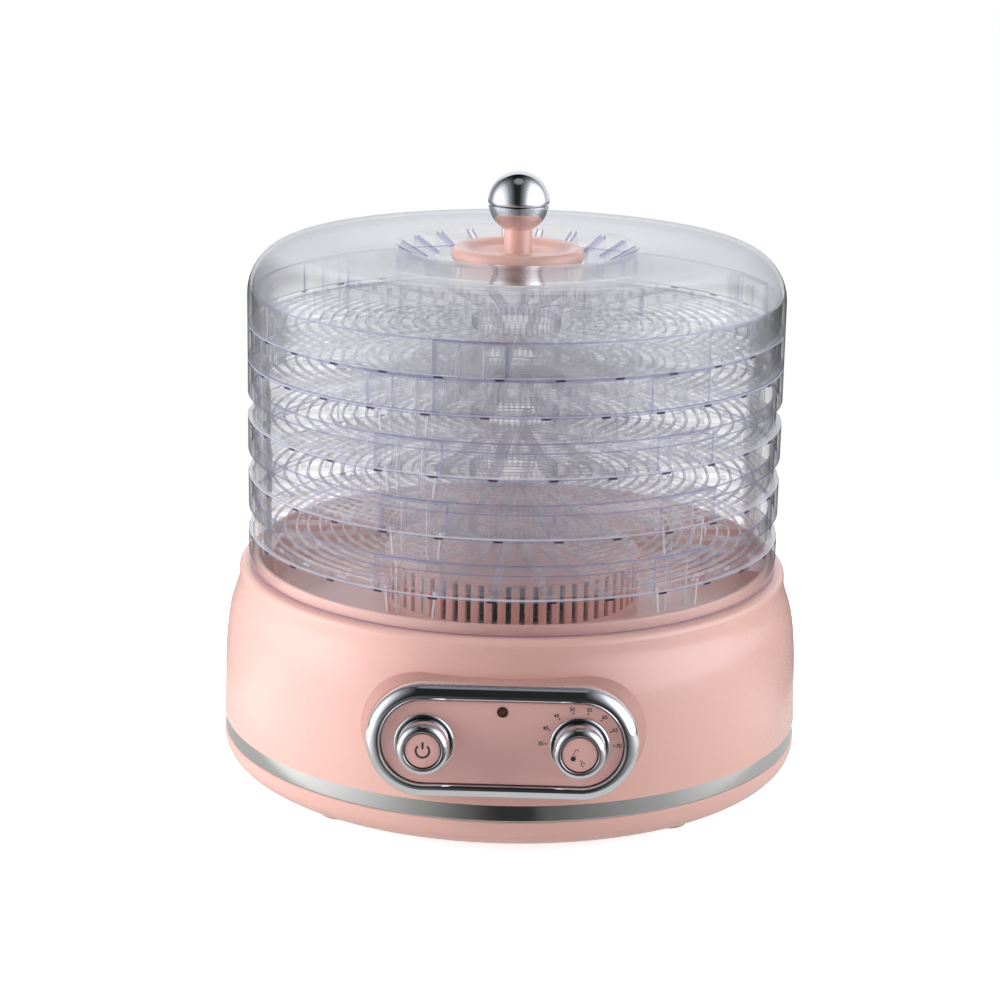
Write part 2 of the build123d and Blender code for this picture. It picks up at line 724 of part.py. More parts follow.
def motor_shaft():
    """The motor's steel shaft, from inside the can to the fan's hub."""
    low = MOTOR_LOW_Z + 2.5
    return Pos(0, 0, low) * extrude(Circle(MOTOR_SHAFT_R), FAN_HIGH_Z - 2 - low)


# ---- trays --------------------------------------------------------------------------------


def tray_column():
    """One column at the front: a hollow pocket above the floor and a ribbed leg below it."""
    depth = RIM_R - RIM_WALL + 0.4 - POCKET_INNER_R
    middle_y = -(POCKET_INNER_R + depth / 2)
    pocket = Pos(0, middle_y, 0) * extrude(Rectangle(POCKET_WIDTH, depth), RIM_HEIGHT)
    inside = Pos(0, middle_y - POCKET_WALL, -FLOOR_THICK - 1) * extrude(
        Rectangle(POCKET_WIDTH - 2 * POCKET_WALL, depth), RIM_HEIGHT + FLOOR_THICK + 1 - POCKET_WALL
    )
    drop = EXTENDED_PITCH - RIM_HEIGHT - STACK_GAP
    leg_depth = LEG_OUTER_R - POCKET_INNER_R
    leg = leg_prism(LEG_TOP_WIDTH, LEG_FOOT_WIDTH, drop, leg_depth, 0)
    both_walls = 2 * POCKET_WALL
    leg_inside = leg_prism(
        LEG_TOP_WIDTH - both_walls,
        LEG_FOOT_WIDTH - both_walls,
        drop + 1,
        leg_depth,
        POCKET_WALL,
    )
    rib = Pos(0, -(POCKET_INNER_R + LEG_OUTER_R) / 2, -drop) * extrude(
        Rectangle(COLUMN_RIB_WALL, leg_depth), drop + RIM_HEIGHT - POCKET_WALL - 1
    )
    ribs = [Pos(x, 0, 0) * rib for x in (-COLUMN_RIB_SPACING / 2, COLUMN_RIB_SPACING / 2)]
    return pocket, inside, leg, leg_inside, ribs


def leg_prism(top_width, foot_width, drop, depth, step):
    """A block that narrows downwards, its inner face moved out by step."""
    front = Plane(origin=(0, -(POCKET_INNER_R + step), 0), x_dir=(1, 0, 0), z_dir=(0, -1, 0))
    outline = Polyline(
        (-top_width / 2, 0),
        (top_width / 2, 0),
        (foot_width / 2, -drop),
        (-foot_width / 2, -drop),
        close=True,
    )
    return extrude(front * make_face(outline), depth)


def tray():
    """A clear moulded tray, its floor's top at z = 0 and its first column at the front."""
    rim_in = RIM_R - RIM_WALL
    skirt_in = SKIRT_R - SKIRT_WALL
    wall = Polyline(
        (rim_in - 4, -FLOOR_THICK),
        (rim_in - 4, 0),
        (rim_in, 0),
        (rim_in, RIM_HEIGHT),
        (RIM_R, RIM_HEIGHT),
        (RIM_R, 0),
        (SKIRT_R, 0),
        (SKIRT_R, -SKIRT_DROP),
        (skirt_in, -SKIRT_DROP),
        (skirt_in, -FLOOR_THICK),
        close=True,
    )
    section = make_face(wall)
    rounds = [v for v in section.vertices() if v.Y > RIM_HEIGHT - 1 or v.Y < 1 - SKIRT_DROP]
    section = fillet(rounds, 0.6)
    shoulder = [v for v in section.vertices() if v.X > SKIRT_R - 0.1 and abs(v.Y) < 0.1]
    section = fillet(shoulder, 0.9)
    wall = revolve(Plane.XZ * section, Axis.Z)
    bars = []
    for i in range(FLOOR_BARS):
        radius = COLLAR_R + FLOOR_BAR_PITCH * (i + 1)
        bars.append(Circle(radius + FLOOR_BAR_WIDTH / 2) - Circle(radius - FLOOR_BAR_WIDTH / 2))
    spoke_length = rim_in - 3 - COLLAR_R + 0.8
    spoke = Pos(0, -(COLLAR_R - 0.8 + spoke_length / 2), 0) * Rectangle(FLOOR_BAR_WIDTH, spoke_length)
    grid = Sketch() + bars + around(spoke, FLOOR_SPOKES, 180 / FLOOR_SPOKES)
    floor = Pos(0, 0, -FLOOR_THICK) * extrude(grid, FLOOR_THICK)
    collar = tube(COLLAR_R, COLLAR_R - COLLAR_WALL, -5, 3)
    body = fused([wall, floor, collar])
    pocket, inside, leg, leg_inside, ribs = tray_column()
    body = fused([body] + around(pocket, COLUMNS))
    body = body - around(inside, COLUMNS)
    legs = around(leg - leg_inside, COLUMNS)
    rib_copies = [copy for rib in ribs for copy in around(rib, COLUMNS)]
    return fused([body] + legs + rib_copies)


# ---- lid ----------------------------------------------------------------------------------


def lid_dome():
    """The clear domed lid, sunk in the middle to a slotted vent."""
    inner_r = SKIRT_R - LID_WALL
    corner_z = LID_TOP_Z - LID_CORNER_R
    corner_x = SKIRT_R - LID_CORNER_R
    rise = sin(radians(45))
    outer_arc = ThreePointArc(
        (SKIRT_R, corner_z),
        (corner_x + LID_CORNER_R * rise, corner_z + LID_CORNER_R * rise),
        (corner_x, LID_TOP_Z),
    )
    small = LID_CORNER_R - LID_WALL
    inner_arc = ThreePointArc(
        (corner_x, LID_TOP_Z - LID_WALL),
        (corner_x + small * rise, corner_z + small * rise),
        (inner_r, corner_z),
    )
    top = Polyline(
        (corner_x, LID_TOP_Z),
        (VENT_RIM_R + 3.5, LID_TOP_Z),
        (VENT_RIM_R + 1.6, LID_TOP_Z + 0.5),
        (VENT_RIM_R, LID_TOP_Z - 0.4),
        (VENT_FLOOR_R, VENT_FLOOR_Z),
        (0, VENT_FLOOR_Z),
        (0, VENT_FLOOR_Z - LID_WALL),
        (VENT_FLOOR_R + 0.6, VENT_FLOOR_Z - LID_WALL),
        (VENT_RIM_R + 1.6, LID_TOP_Z - LID_WALL),
        (corner_x, LID_TOP_Z - LID_WALL),
    )
    foot = Polyline(
        (inner_r, corner_z),
        (inner_r, LID_FOOT_Z),
        (SKIRT_R, LID_FOOT_Z),
        (SKIRT_R, corner_z),
    )
    dome = spun(outer_arc, top, inner_arc, foot)
    # one slot lies along the cone, from just inside the rim to the flat floor
    low = (VENT_FLOOR_R + 1.0, VENT_FLOOR_Z + 0.6)
    high = (VENT_RIM_R - 0.8, LID_TOP_Z - 0.9)
    length = hypot(high[0] - low[0], high[1] - low[1])
    slope = degrees(atan2(high[1] - low[1], high[0] - low[0]))
    middle = Pos((low[0] + high[0]) / 2, 0, (low[1] + high[1]) / 2)
    slot = middle * Rot(0, -slope, 0) * Pos(0, 0, -5) * extrude(SlotOverall(length, VENT_SLOT_WIDTH), 8)
    dome = dome - around(slot, VENT_SLOTS, VENT_SLOT_START)
    return dome - Pos(0, 0, VENT_FLOOR_Z - 5) * extrude(Circle(HANDLE_SCREW_R + 0.2), 10)


VENT_SLOT_START = -82.0
HANDLE_SCREW_R = 2.5
BALL_Z = VENT_FLOOR_Z + BALL_RISE
BALL_SPLIT_Z = BALL_Z - 0.9
STEM_TOP_Z = BALL_Z - 9.0
INSERT_R = 4.0


def handle_base():
    """The pink dish-shaped disc with the stem that carries the ball."""
    base = VENT_FLOOR_Z
    foot = Polyline((0, base), (30.0, base))
    side = ThreePointArc((30.0, base), (DISC_R, base + 3.6), (28.5, base + 8.4))
    inner = ThreePointArc((28.5, base + 8.4), (25.2, base + 7.6), (23.0, base + 4.9))
    stem = Polyline(
        (23.0, base + 4.9),
        (STEM_R + 0.6, base + 4.7),
        (STEM_R, base + 5.4),
        (STEM_R, STEM_TOP_Z),
        (0, STEM_TOP_Z),
        (0, base),
    )
    body = spun(foot, side, inner, stem)
    return body - Pos(0, 0, base - 1) * extrude(Circle(HANDLE_SCREW_R + 0.2), 40)


def handle_ball_lower():
    """The ball's lower shell, seated on the stem, with a bed for the threaded insert."""
    ball = Pos(0, 0, BALL_Z) * Sphere(BALL_R)
    part = ball & pillar(20, BALL_Z - 20, BALL_SPLIT_Z)
    part = part - Pos(0, 0, BALL_Z - 20) * extrude(Circle(STEM_R + 0.05), STEM_TOP_Z - BALL_Z + 20)
    return part - Pos(0, 0, STEM_TOP_Z - 1) * extrude(RegularPolygon(INSERT_R, 6), 20)


def handle_ball_upper():
    """The ball's upper shell, hollowed for the insert."""
    ball = Pos(0, 0, BALL_Z) * Sphere(BALL_R)
    part = ball & pillar(20, BALL_SPLIT_Z, BALL_Z + 20)
    return part - Pos(0, 0, BALL_SPLIT_Z - 1) * extrude(Circle(9), 6)


def handle_insert():
    """The hexagonal brass insert inside the ball."""
    nut = Pos(0, 0, STEM_TOP_Z) * extrude(RegularPolygon(INSERT_R - 0.05, 6), 7)
    return nut - Pos(0, 0, STEM_TOP_Z - 1) * extrude(Circle(HANDLE_SCREW_R), 6)


def handle_washer():
    """The washer between the screw's head and the lid."""
    under = VENT_FLOOR_Z - LID_WALL
    return tube(6.0, HANDLE_SCREW_R + 0.1, under - 1.0, under)


def handle_screw():
    """The long screw that holds handle and lid together from inside."""
    under = VENT_FLOOR_Z - LID_WALL - 1.0
    length = STEM_TOP_Z + 4.5 - under
    return screw(
        0, 0, under, length, head_r=4.4, shank_r=HANDLE_SCREW_R, head_height=2.8, up=True
    )


# ---- writing the parts --------------------------------------------------------------------


def main():
    parts = {
        "base_housing": base_housing(),
        "trim_band": trim_band(),
        "bottom_cover": bottom_cover(),
        "feet": feet(),
        "cover_screws": cover_screws(),
        "cord_gland": cord_gland(),
        "air_tower": air_tower(),
        "heat_duct": heat_duct(),
        "duct_screws": duct_screws(),
        "motor_bracket": motor_bracket(),
        "bracket_screws": bracket_screws(),
        "fan_motor": fan_motor(),
        "motor_screws": motor_screws(),
        "heater_frame": heater_frame(),
        "heater_coil": heater_coil(),
        "thermal_cutout": thermal_cutout(),
        "terminal_block": terminal_block(),
        "terminal_screws": terminal_screws(),
        "wiring": wiring(),
        "panel_bezel": panel_bezel(),
        "panel_plate": panel_plate(),
        "power_collar": collar_ring("power"),
        "temp_collar": collar_ring("temp"),
        "indicator_lens": indicator_lens(),
        "indicator_led": indicator_led(),
        "control_board": control_board(),
        "board_screws": board_screws(),
        "power_switch": power_switch(),
        "temp_control": temp_control(),
        "power_button_ring": power_button_ring(),
        "power_button_cap": power_button_cap(),
        "power_button_stem": power_button_stem(),
        "temp_knob_ring": temp_knob_ring(),
        "temp_knob_cap": temp_knob_cap(),
        "temp_knob_shaft": temp_knob_shaft(),
        "fan_impeller": fan_impeller(),
        "motor_shaft": motor_shaft(),
        "lid_dome": lid_dome(),
        "handle_base": handle_base(),
        "handle_ball_lower": handle_ball_lower(),
        "handle_ball_upper": handle_ball_upper(),
        "handle_insert": handle_insert(),
        "handle_washer": handle_washer(),
        "handle_screw": handle_screw(),
    }
    moulding = tray()
    for name, floor_z, turn in TRAYS:
        parts[name] = Pos(0, 0, floor_z) * Rot(0, 0, turn) * copy_of(moulding)
    os.makedirs("parts", exist_ok=True)
    for name, shape in parts.items():
        export_step(shape, f"parts/{name}.step")


main()
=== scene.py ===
"""Round five-tray food dehydrator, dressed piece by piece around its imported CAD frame."""

from math import cos, radians, sin

import bpy
from mathutils import Matrix, Vector


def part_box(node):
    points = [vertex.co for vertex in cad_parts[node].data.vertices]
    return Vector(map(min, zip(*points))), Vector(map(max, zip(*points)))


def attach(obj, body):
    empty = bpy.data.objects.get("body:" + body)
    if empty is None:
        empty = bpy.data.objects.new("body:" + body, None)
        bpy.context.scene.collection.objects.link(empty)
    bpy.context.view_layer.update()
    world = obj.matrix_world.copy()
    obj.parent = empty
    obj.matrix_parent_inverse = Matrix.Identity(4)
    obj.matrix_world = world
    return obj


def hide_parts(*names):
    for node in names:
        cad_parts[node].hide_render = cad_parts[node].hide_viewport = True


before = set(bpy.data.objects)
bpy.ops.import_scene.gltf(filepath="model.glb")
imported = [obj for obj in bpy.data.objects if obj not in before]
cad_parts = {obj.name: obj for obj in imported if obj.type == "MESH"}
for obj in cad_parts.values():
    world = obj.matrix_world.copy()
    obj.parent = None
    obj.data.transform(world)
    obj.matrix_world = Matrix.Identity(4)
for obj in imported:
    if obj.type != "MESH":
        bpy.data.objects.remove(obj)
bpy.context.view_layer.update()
MM = 0.001


# ---------------------------------------------------------------------------------------------
# Base housing. The top shell of the base, injection-moulded in glossy salmon-pink ABS: a wall
# that swells downwards, a boss for the control panel, a ledge and a thin seat rim for the lowest
# tray, and a sunk deck with six pads. It is screwed to the bottom cover from below.
# ---------------------------------------------------------------------------------------------


def linear(code):
    """An sRGB hex colour as the linear colour that a shader socket takes."""
    channels = [int(code[i : i + 2], 16) / 255 for i in (1, 3, 5)]
    return [c / 12.92 if c <= 0.04045 else ((c + 0.055) / 1.055) ** 2.4 for c in channels] + [1.0]


def node(tree, kind, inputs=None, **settings):
    """Adds a node. Inputs maps a socket's name or number to a value or to another socket."""
    made = tree.nodes.new(kind)
    for setting, value in settings.items():
        setattr(made, setting, value)
    for socket, value in (inputs or {}).items():
        if isinstance(value, bpy.types.NodeSocket):
            tree.links.new(value, made.inputs[socket])
        else:
            made.inputs[socket].default_value = value
    return made


def new_material(name):
    """A named material, its empty node tree and the object coordinates in it."""
    made = bpy.data.materials.new(name)
    made.use_nodes = True
    made.node_tree.nodes.clear()
    return made, made.node_tree, node(made.node_tree, "ShaderNodeTexCoord").outputs["Object"]


def show(tree, surface):
    """Ends a material's tree with this surface."""
    node(tree, "ShaderNodeOutputMaterial", {"Surface": surface})


def show_principled(tree, inputs):
    """Ends a material's tree with a principled surface that has these inputs."""
    show(tree, node(tree, "ShaderNodeBsdfPrincipled", inputs).outputs[0])


def noise(tree, place, scale, detail=2.0):
    """A cloudy pattern from 0 to 1, as many waves to a metre as the scale says."""
    inputs = {"Vector": place, "Scale": scale, "Detail": detail}
    return node(tree, "ShaderNodeTexNoise", inputs).outputs["Fac"]


def mapped(tree, value, start, end, low=0.0, high=1.0):
    """A value that runs from low to high while another runs from start to end."""
    inputs = {0: value, 1: start, 2: end, 3: low, 4: high}
    return node(tree, "ShaderNodeMapRange", inputs).outputs[0]


def blended(tree, share, colour, other):
    """A colour between two linear colours, by a share from 0 to 1."""
    inputs = {0: share, 6: colour, 7: other}
    return node(tree, "ShaderNodeMix", inputs, data_type="RGBA").outputs[2]


def relief(tree, height, strength, distance):
    """The normal of a surface that a pattern raises by up to a distance in metres."""
    inputs = {"Height": height, "Strength": strength, "Distance": distance}
    return node(tree, "ShaderNodeBump", inputs).outputs[0]


def oval(r, z, across, up, start, end, steps):
    """Points of an oval, from one angle to the other in degrees, 0 outwards and 90 up."""
    turns = [radians(start + (end - start) * i / steps) for i in range(steps + 1)]
    return [(r + across * cos(t), z + up * sin(t)) for t in turns]


def arc(r, z, radius, start, end, steps):
    """Points of a round, from one angle to the other in degrees."""
    return oval(r, z, radius, radius, start, end, steps)


def start_piece(name):
    """Names the primitive that was just added, and its data."""
    piece = bpy.context.object
    piece.name = piece.data.name = name
    return piece


def lathe(name, outline, steps=192, closed=True, turn=360.0):
    """Draws an outline of (radius, height) points in millimetres and spins it about Z."""
    bpy.ops.object.select_all(action="DESELECT")
    bpy.ops.mesh.primitive_plane_add(size=1 * MM)
    piece = start_piece(name)
    bpy.ops.object.mode_set(mode="EDIT")
    bpy.ops.mesh.select_mode(type="VERT")
    bpy.ops.mesh.merge(type="CENTER")
    points = [(0.0, 0.0)] + outline + (outline[:1] if closed else [])
    bpy.ops.transform.translate(value=(points[1][0] * MM, 0, points[1][1] * MM))
    for (r0, z0), (r1, z1) in zip(points[1:], points[2:]):
        step = ((r1 - r0) * MM, 0, (z1 - z0) * MM)
        bpy.ops.mesh.extrude_region_move(TRANSFORM_OT_translate={"value": step})
    bpy.ops.mesh.select_all(action="SELECT")
    bpy.ops.mesh.remove_doubles(threshold=1e-7)
    bpy.ops.mesh.spin(steps=steps, angle=radians(turn), center=(0, 0, 0), axis=(0, 0, 1))
    bpy.ops.mesh.select_all(action="SELECT")
    bpy.ops.mesh.remove_doubles(threshold=2e-7)
    bpy.ops.mesh.normals_make_consistent(inside=False)
    bpy.ops.object.mode_set(mode="OBJECT")
    return piece


def stretch(piece, half_length):
    """Parts a round piece at x = 0, so that it becomes a racetrack with straight sides."""
    for vertex in piece.data.vertices:
        vertex.co.x += half_length * MM if vertex.co.x > 0 else -half_length * MM
    return piece


def block(name, size, place):
    """A block of a size about a place, both in millimetres, its object left at the origin."""
    bpy.ops.object.select_all(action="DESELECT")
    bpy.ops.mesh.primitive_cube_add(size=1, location=Vector(place) * MM, scale=Vector(size) * MM)
    piece = start_piece(name)
    bpy.ops.object.transform_apply(location=True, rotation=True, scale=True)
    return piece


def join(pieces, name):
    """Joins pieces into one object."""
    bpy.ops.object.select_all(action="DESELECT")
    for piece in pieces:
        piece.select_set(True)
    bpy.context.view_layer.objects.active = pieces[0]
    if len(pieces) > 1:
        bpy.ops.object.join()
    return start_piece(name)


def copied(piece, place):
    """A copy of a piece with its own mesh, moved by a matrix."""
    copy = piece.copy()
    copy.data = piece.data.copy()
    copy.data.transform(place)
    bpy.context.collection.objects.link(copy)
    return copy


def moved(piece, x, y, z=0.0):
    """Moves a piece's mesh by a step in millimetres."""
    piece.data.transform(Matrix.Translation(Vector((x, y, z)) * MM))
    return piece


def turned(piece, angle, axis="Z"):
    """Turns a piece's mesh about an axis through the origin, in degrees."""
    piece.data.transform(Matrix.Rotation(radians(angle), 4, axis))
    return piece


def ring_of(piece, count, start=0.0):
    """Copies a piece all round the Z axis and joins the copies."""
    turns = [radians(start + i * 360 / count) for i in range(count)]
    copies = [copied(piece, Matrix.Rotation(turn, 4, "Z")) for turn in turns]
    name = piece.name
    bpy.data.objects.remove(piece)
    return join(copies, name)


def apply_modifier(piece, kind, **settings):
    """Adds a modifier with its settings and applies it."""
    modifier = piece.modifiers.new(kind.title(), kind)
    for setting, value in settings.items():
        setattr(modifier, setting, value)
    bpy.context.view_layer.objects.active = piece
    bpy.ops.object.modifier_apply(modifier=modifier.name)


def combine(piece, other, operation):
    """Adds the other piece to this one, or cuts it away, and drops the other."""
    apply_modifier(piece, "BOOLEAN", operation=operation, object=other, solver="EXACT")
    bpy.data.objects.remove(other)
    return piece


# the middle of the control panel's face, which leans back by 4 degrees
PANEL = Matrix.Translation(Vector((0, -159.3, 62.9)) * MM) @ Matrix.Rotation(radians(86), 4, "X")


def put_on_panel(piece, x=0.0, y=0.0):
    """Sets a piece modelled about the origin, face up, at a place on the control panel."""
    piece.data.transform(PANEL @ Matrix.Translation(Vector((x, y, 0)) * MM))
    return piece


def dress(piece, body, materials, smooth=35.0, stands_for=()):
    """Gives a finished piece its materials, smooth shading and body, and hides the CAD nodes it
    stands for.
    """
    bpy.ops.object.select_all(action="DESELECT")
    piece.select_set(True)
    bpy.context.view_layer.objects.active = piece
    bpy.ops.object.shade_smooth_by_angle(angle=radians(smooth))
    for material in materials:
        if material.name not in piece.data.materials:
            piece.data.materials.append(material)
    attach(piece, body)
    if stands_for:
        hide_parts(*stands_for)
    return piece


def abs_plastic(name, code, deep_code, roughness):
    """Injection-moulded ABS: even colour with a faint flow, a skin gloss and a fine grain."""
    made, tree, place = new_material(name)
    # melt flow shows as a very slight, slow change of colour over 60 mm
    flow = noise(tree, place, 16.0)
    # the tool's spark-eroded grain is 0.3 mm
    grain = noise(tree, place, 3300.0, 1.0)
    inputs = {
        "Base Color": blended(tree, flow, linear(code), linear(deep_code)),
        "Roughness": mapped(tree, grain, 0.0, 1.0, roughness - 0.03, roughness + 0.03),
        "Normal": relief(tree, grain, 0.04, 0.00005),
        "IOR": 1.52,
        "Coat Weight": 0.35,
        "Coat Roughness": 0.12,
    }
    show_principled(tree, inputs)
    return made


pink_abs = abs_plastic("moulded_pink_abs", "#F0C1B6", "#ECBBB0", 0.27)
# a darker pink: painted shade for the flanks of the boss
painted_shade_abs = abs_plastic("painted_shade_pink_abs", "#C2938B", "#BC8C84", 0.5)

side = [(150.5, 27.9), (150.29, 31.6), (150.14, 35.3), (150.03, 39.0), (149.95, 42.7)]
side += [(149.87, 46.4), (149.79, 50.1), (149.69, 53.8), (149.57, 57.5), (149.41, 61.2)]
side += [(149.2, 64.9), (148.93, 68.5), (148.6, 72.2), (148.19, 75.9), (147.68, 79.6)]
side += [(147.03, 83.2), (146.18, 86.8), (145.08, 90.3), (143.8, 93.8), (142.72, 97.3)]
side += [(142.2, 101.0)]
SHELL = 2.6  # wall thickness
outline = [(148.9, 19.3), (148.9, 27.9)] + side
outline += arc(138.6, 104.4, 3.6, 0, 90, 8)
outline += [(134.5, 108.0)] + arc(133.5, 112.4, 1.0, 0, 90, 4)
outline += arc(132.9, 112.4, 1.0, 90, 180, 4)
outline += arc(128.4, 90.0, 2.0, -10, -90, 5)
outline += [(61.0, 88.0), (61.0, 85.4), (129.0, 85.4), (132.7, 105.4), (139.6, 105.4)]
outline += [(r - SHELL, z) for r, z in reversed(side)]
outline += [(146.3, 27.9), (146.3, 19.3)]
housing = lathe("base_shell", outline, steps=256)
# the boss under the control panel is a racetrack that widens inwards, for the tool's draft
STRAIGHT = 37.1  # half the straight side of every racetrack on the panel
BOSS_FACE, BOSS_BACK = -7, -41
BOSS_RADIUS, BOSS_FLARE = 28.2, 6.0
flared = BOSS_RADIUS + BOSS_FLARE
outline = [(0, BOSS_FACE), (BOSS_RADIUS, BOSS_FACE), (flared, BOSS_BACK), (0, BOSS_BACK)]
boss = put_on_panel(stretch(lathe("boss", outline, steps=130), STRAIGHT))
inside = lathe("inside", [(0, -50), (147.0, -50), (147.0, 300), (0, 300)], steps=256)
combine(boss, inside, "DIFFERENCE")
combine(housing, boss, "UNION")
window = lathe("window", [(0, 2), (18.5, 2), (18.5, -45), (0, -45)], steps=130)
combine(housing, put_on_panel(stretch(window, STRAIGHT)), "DIFFERENCE")
# six pads in the well carry the lowest tray's legs
pad = block("leg_pad", (30.0, 8.0, 24.0), (0, -128.0, 98.6))
pads = ring_of(pad, 6, 25.7)
housing = join([housing, pads], "base_shell")
dress(housing, "base", [pink_abs, painted_shade_abs], stands_for=["base_housing"])
# the boss's flanks get a darker pink that is painted shade, and a duller gloss
to_panel = PANEL.inverted()
painted_shade_slot = housing.data.materials.find("painted_shade_pink_abs")
for face in housing.data.polygons:
    spot = to_panel @ face.center / MM
    away = Vector((max(abs(spot.x) - STRAIGHT, 0), spot.y)).length
    depth = (BOSS_FACE - spot.z) / (BOSS_FACE - BOSS_BACK)
    on_cone = 0.01 < depth < 1 and abs(away - BOSS_RADIUS - BOSS_FLARE * depth) < 0.25
    if on_cone and (to_panel.to_3x3() @ face.normal).z < 0.5:
        face.material_index = painted_shade_slot


# ---------------------------------------------------------------------------------------------
# Bottom cover and feet. A shallow dish of the same pink ABS closes the base from below, with
# rings of air slots for the fan, and stands on four pads of the same colour.
# ---------------------------------------------------------------------------------------------

outline = [(0, 4.5), (138.5, 4.5), (141.3, 4.9), (144.0, 6.0), (146.4, 7.7)]
outline += [(148.4, 9.9), (149.7, 12.4), (150.4, 15.2), (150.4, 18.7), (149.9, 19.2)]
outline += [(148.0, 19.2), (147.6, 15.0), (144.9, 10.3), (141.4, 7.6), (138.0, 7.0), (0, 7.0)]
cover = lathe("base_dish", outline, steps=256)
for inner, outer, count in ((12, 26, 12), (30, 43, 20), (47, 58, 30)):
    slot = block("slot", (3.4, outer - inner, 6), (0, -(inner + outer) / 2, 5.5))
    combine(cover, ring_of(slot, count), "DIFFERENCE")
dress(cover, "base", [pink_abs], stands_for=["bottom_cover"])

FEET = 126.0  # how far the feet stand from the middle
outline = [(0, 0)] + arc(8.5, 1.5, 1.5, -90, 0, 4) + [(10, 4.5), (0, 4.5)]
foot = lathe("foot_pad", outline, steps=48)
feet = []
for angle in (-40.5, 40.5, 139.5, 220.5):
    place = Vector((sin(radians(angle)), -cos(radians(angle)), 0)) * FEET * MM
    feet.append(copied(foot, Matrix.Translation(place)))
bpy.data.objects.remove(foot)
foot_plastic = abs_plastic("soft_pink_foot", "#EBBBB0", "#E5B1A6", 0.55)
dress(join(feet, "foot_pads"), "base", [foot_plastic], stands_for=["feet"])


# ---------------------------------------------------------------------------------------------
# Trim band. A strip of polished stainless steel rolled into a hoop and held between the two
# shells, leaning in a little at the top. It was polished round and round along its length.
# ---------------------------------------------------------------------------------------------


def bare_metal(name, code, roughness, scale, grain=(1.0, 1.0, 1.0)):
    """A bare or plated metal with fine polishing marks in its gloss."""
    made, tree, place = new_material(name)
    stretched = node(tree, "ShaderNodeMapping", {"Vector": place, "Scale": grain}).outputs[0]
    marks = noise(tree, stretched, scale, 3.0)
    gloss = mapped(tree, marks, 0.0, 1.0, roughness * 0.75, roughness * 1.3)
    inputs = {"Base Color": linear(code), "Metallic": 1.0, "Roughness": gloss}
    show_principled(tree, inputs)
    return made


# polishing marks 0.2 mm high that run round the hoop
polished_steel = bare_metal("polished_stainless_steel", "#D2D2D0", 0.11, 5000.0, (0.05, 0.05, 1.0))
outline = [(149.0, 19.3)] + arc(149.6, 19.7, 0.4, -90, 0, 3) + [(149.96, 20.0), (149.14, 27.1)]
outline += arc(148.7, 27.4, 0.4, 0, 90, 3) + [(148.2, 27.8)]
band = lathe("steel_band", outline, steps=256)
dress(band, "base", [polished_steel], stands_for=["trim_band"])


# ---------------------------------------------------------------------------------------------
# Cord bush. A black nylon bush clipped into the back wall, with a ribbed sleeve that keeps the
# mains lead from bending sharply where it leaves.
# ---------------------------------------------------------------------------------------------


def moulded_nylon(name, code, roughness):
    """Matt moulded nylon with a spark-eroded skin and a little mottling."""
    made, tree, place = new_material(name)
    base = linear(code)
    paler = [min(1.0, c * 1.25 + 0.004) for c in base[:3]] + [1.0]
    # the skin's grain is 0.4 mm
    skin = relief(tree, noise(tree, place, 2500.0), 0.25, 0.0001)
    colour = blended(tree, noise(tree, place, 140.0, 3.0), base, paler)
    inputs = {"Base Color": colour, "Roughness": roughness, "Normal": skin}
    show_principled(tree, inputs)
    return made


black_nylon = moulded_nylon("black_nylon", "#1C1C1E", 0.5)
SLEEVE = 22.0  # how far the sleeve stands out of the wall
outline = [(3.6, -20), (7.2, -20), (7.2, 0)] + arc(9.0, 1.0, 1.0, 0, 90, 3)
for rib in range(6):
    z = 3.2 + 3.1 * rib
    r = 6.3 - 0.2 * rib
    outline += [(r - 1.0, z - 0.4), (r, z), (r, z + 1.7), (r - 1.0, z + 2.1)]
bush = lathe("cord_bush", outline + [(5.0, SLEEVE), (3.6, SLEEVE)], steps=48)
nut = lathe("bush_nut", [(7.2, -11), (10.6, -11), (10.6, -7.5), (7.2, -7.5)], steps=6)
bush = turned(join([bush, nut], "cord_bush"), -90, "X")
low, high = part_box("cord_gland")
moved(bush, 0, high[1] / MM - SLEEVE, (low[2] + high[2]) / 2 / MM)
dress(bush, "base", [black_nylon], stands_for=["cord_gland"])


# ---------------------------------------------------------------------------------------------
# Air tower. A pink ABS hood in the middle of the deck: sixty upright slats between a foot ring
# and a shallow cap, so that warm air leaves sideways and no drips fall on the heater.
# ---------------------------------------------------------------------------------------------

cap = [(0, 113.5), (63.5, 111.5), (66.5, 111.5), (66.5, 112.9), (65.0, 114.3), (58.5, 115.7)]
hood = lathe("air_tower", cap + [(0, 116.5)], steps=180)
foot = lathe("tower_foot", [(58.5, 88.0), (66.5, 88.0), (66.5, 90.1), (66.1, 90.5), (58.5, 90.5)])
slat = block("slat", (4.2, 2.8, 22.0), (0, -65.0, 101.0))
apply_modifier(slat, "BEVEL", width=0.5 * MM, segments=2, limit_method="ANGLE")
hood = join([hood, foot, ring_of(slat, 60, 3.0)], "air_tower")
dress(hood, "base", [pink_abs], stands_for=["air_tower"])


# ---------------------------------------------------------------------------------------------
# Works inside the base. A small motor on a three-armed bracket drives the fan under a steel
# duct with three rings of heating wire on a mica cross. They show through the air slots.
# ---------------------------------------------------------------------------------------------


def finish_nodes(names, material):
    """Gives CAD nodes that are shown as they are a material for their real stuff."""
    for name in names:
        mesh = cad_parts[name].data
        mesh.materials.clear()
        mesh.materials.append(material)


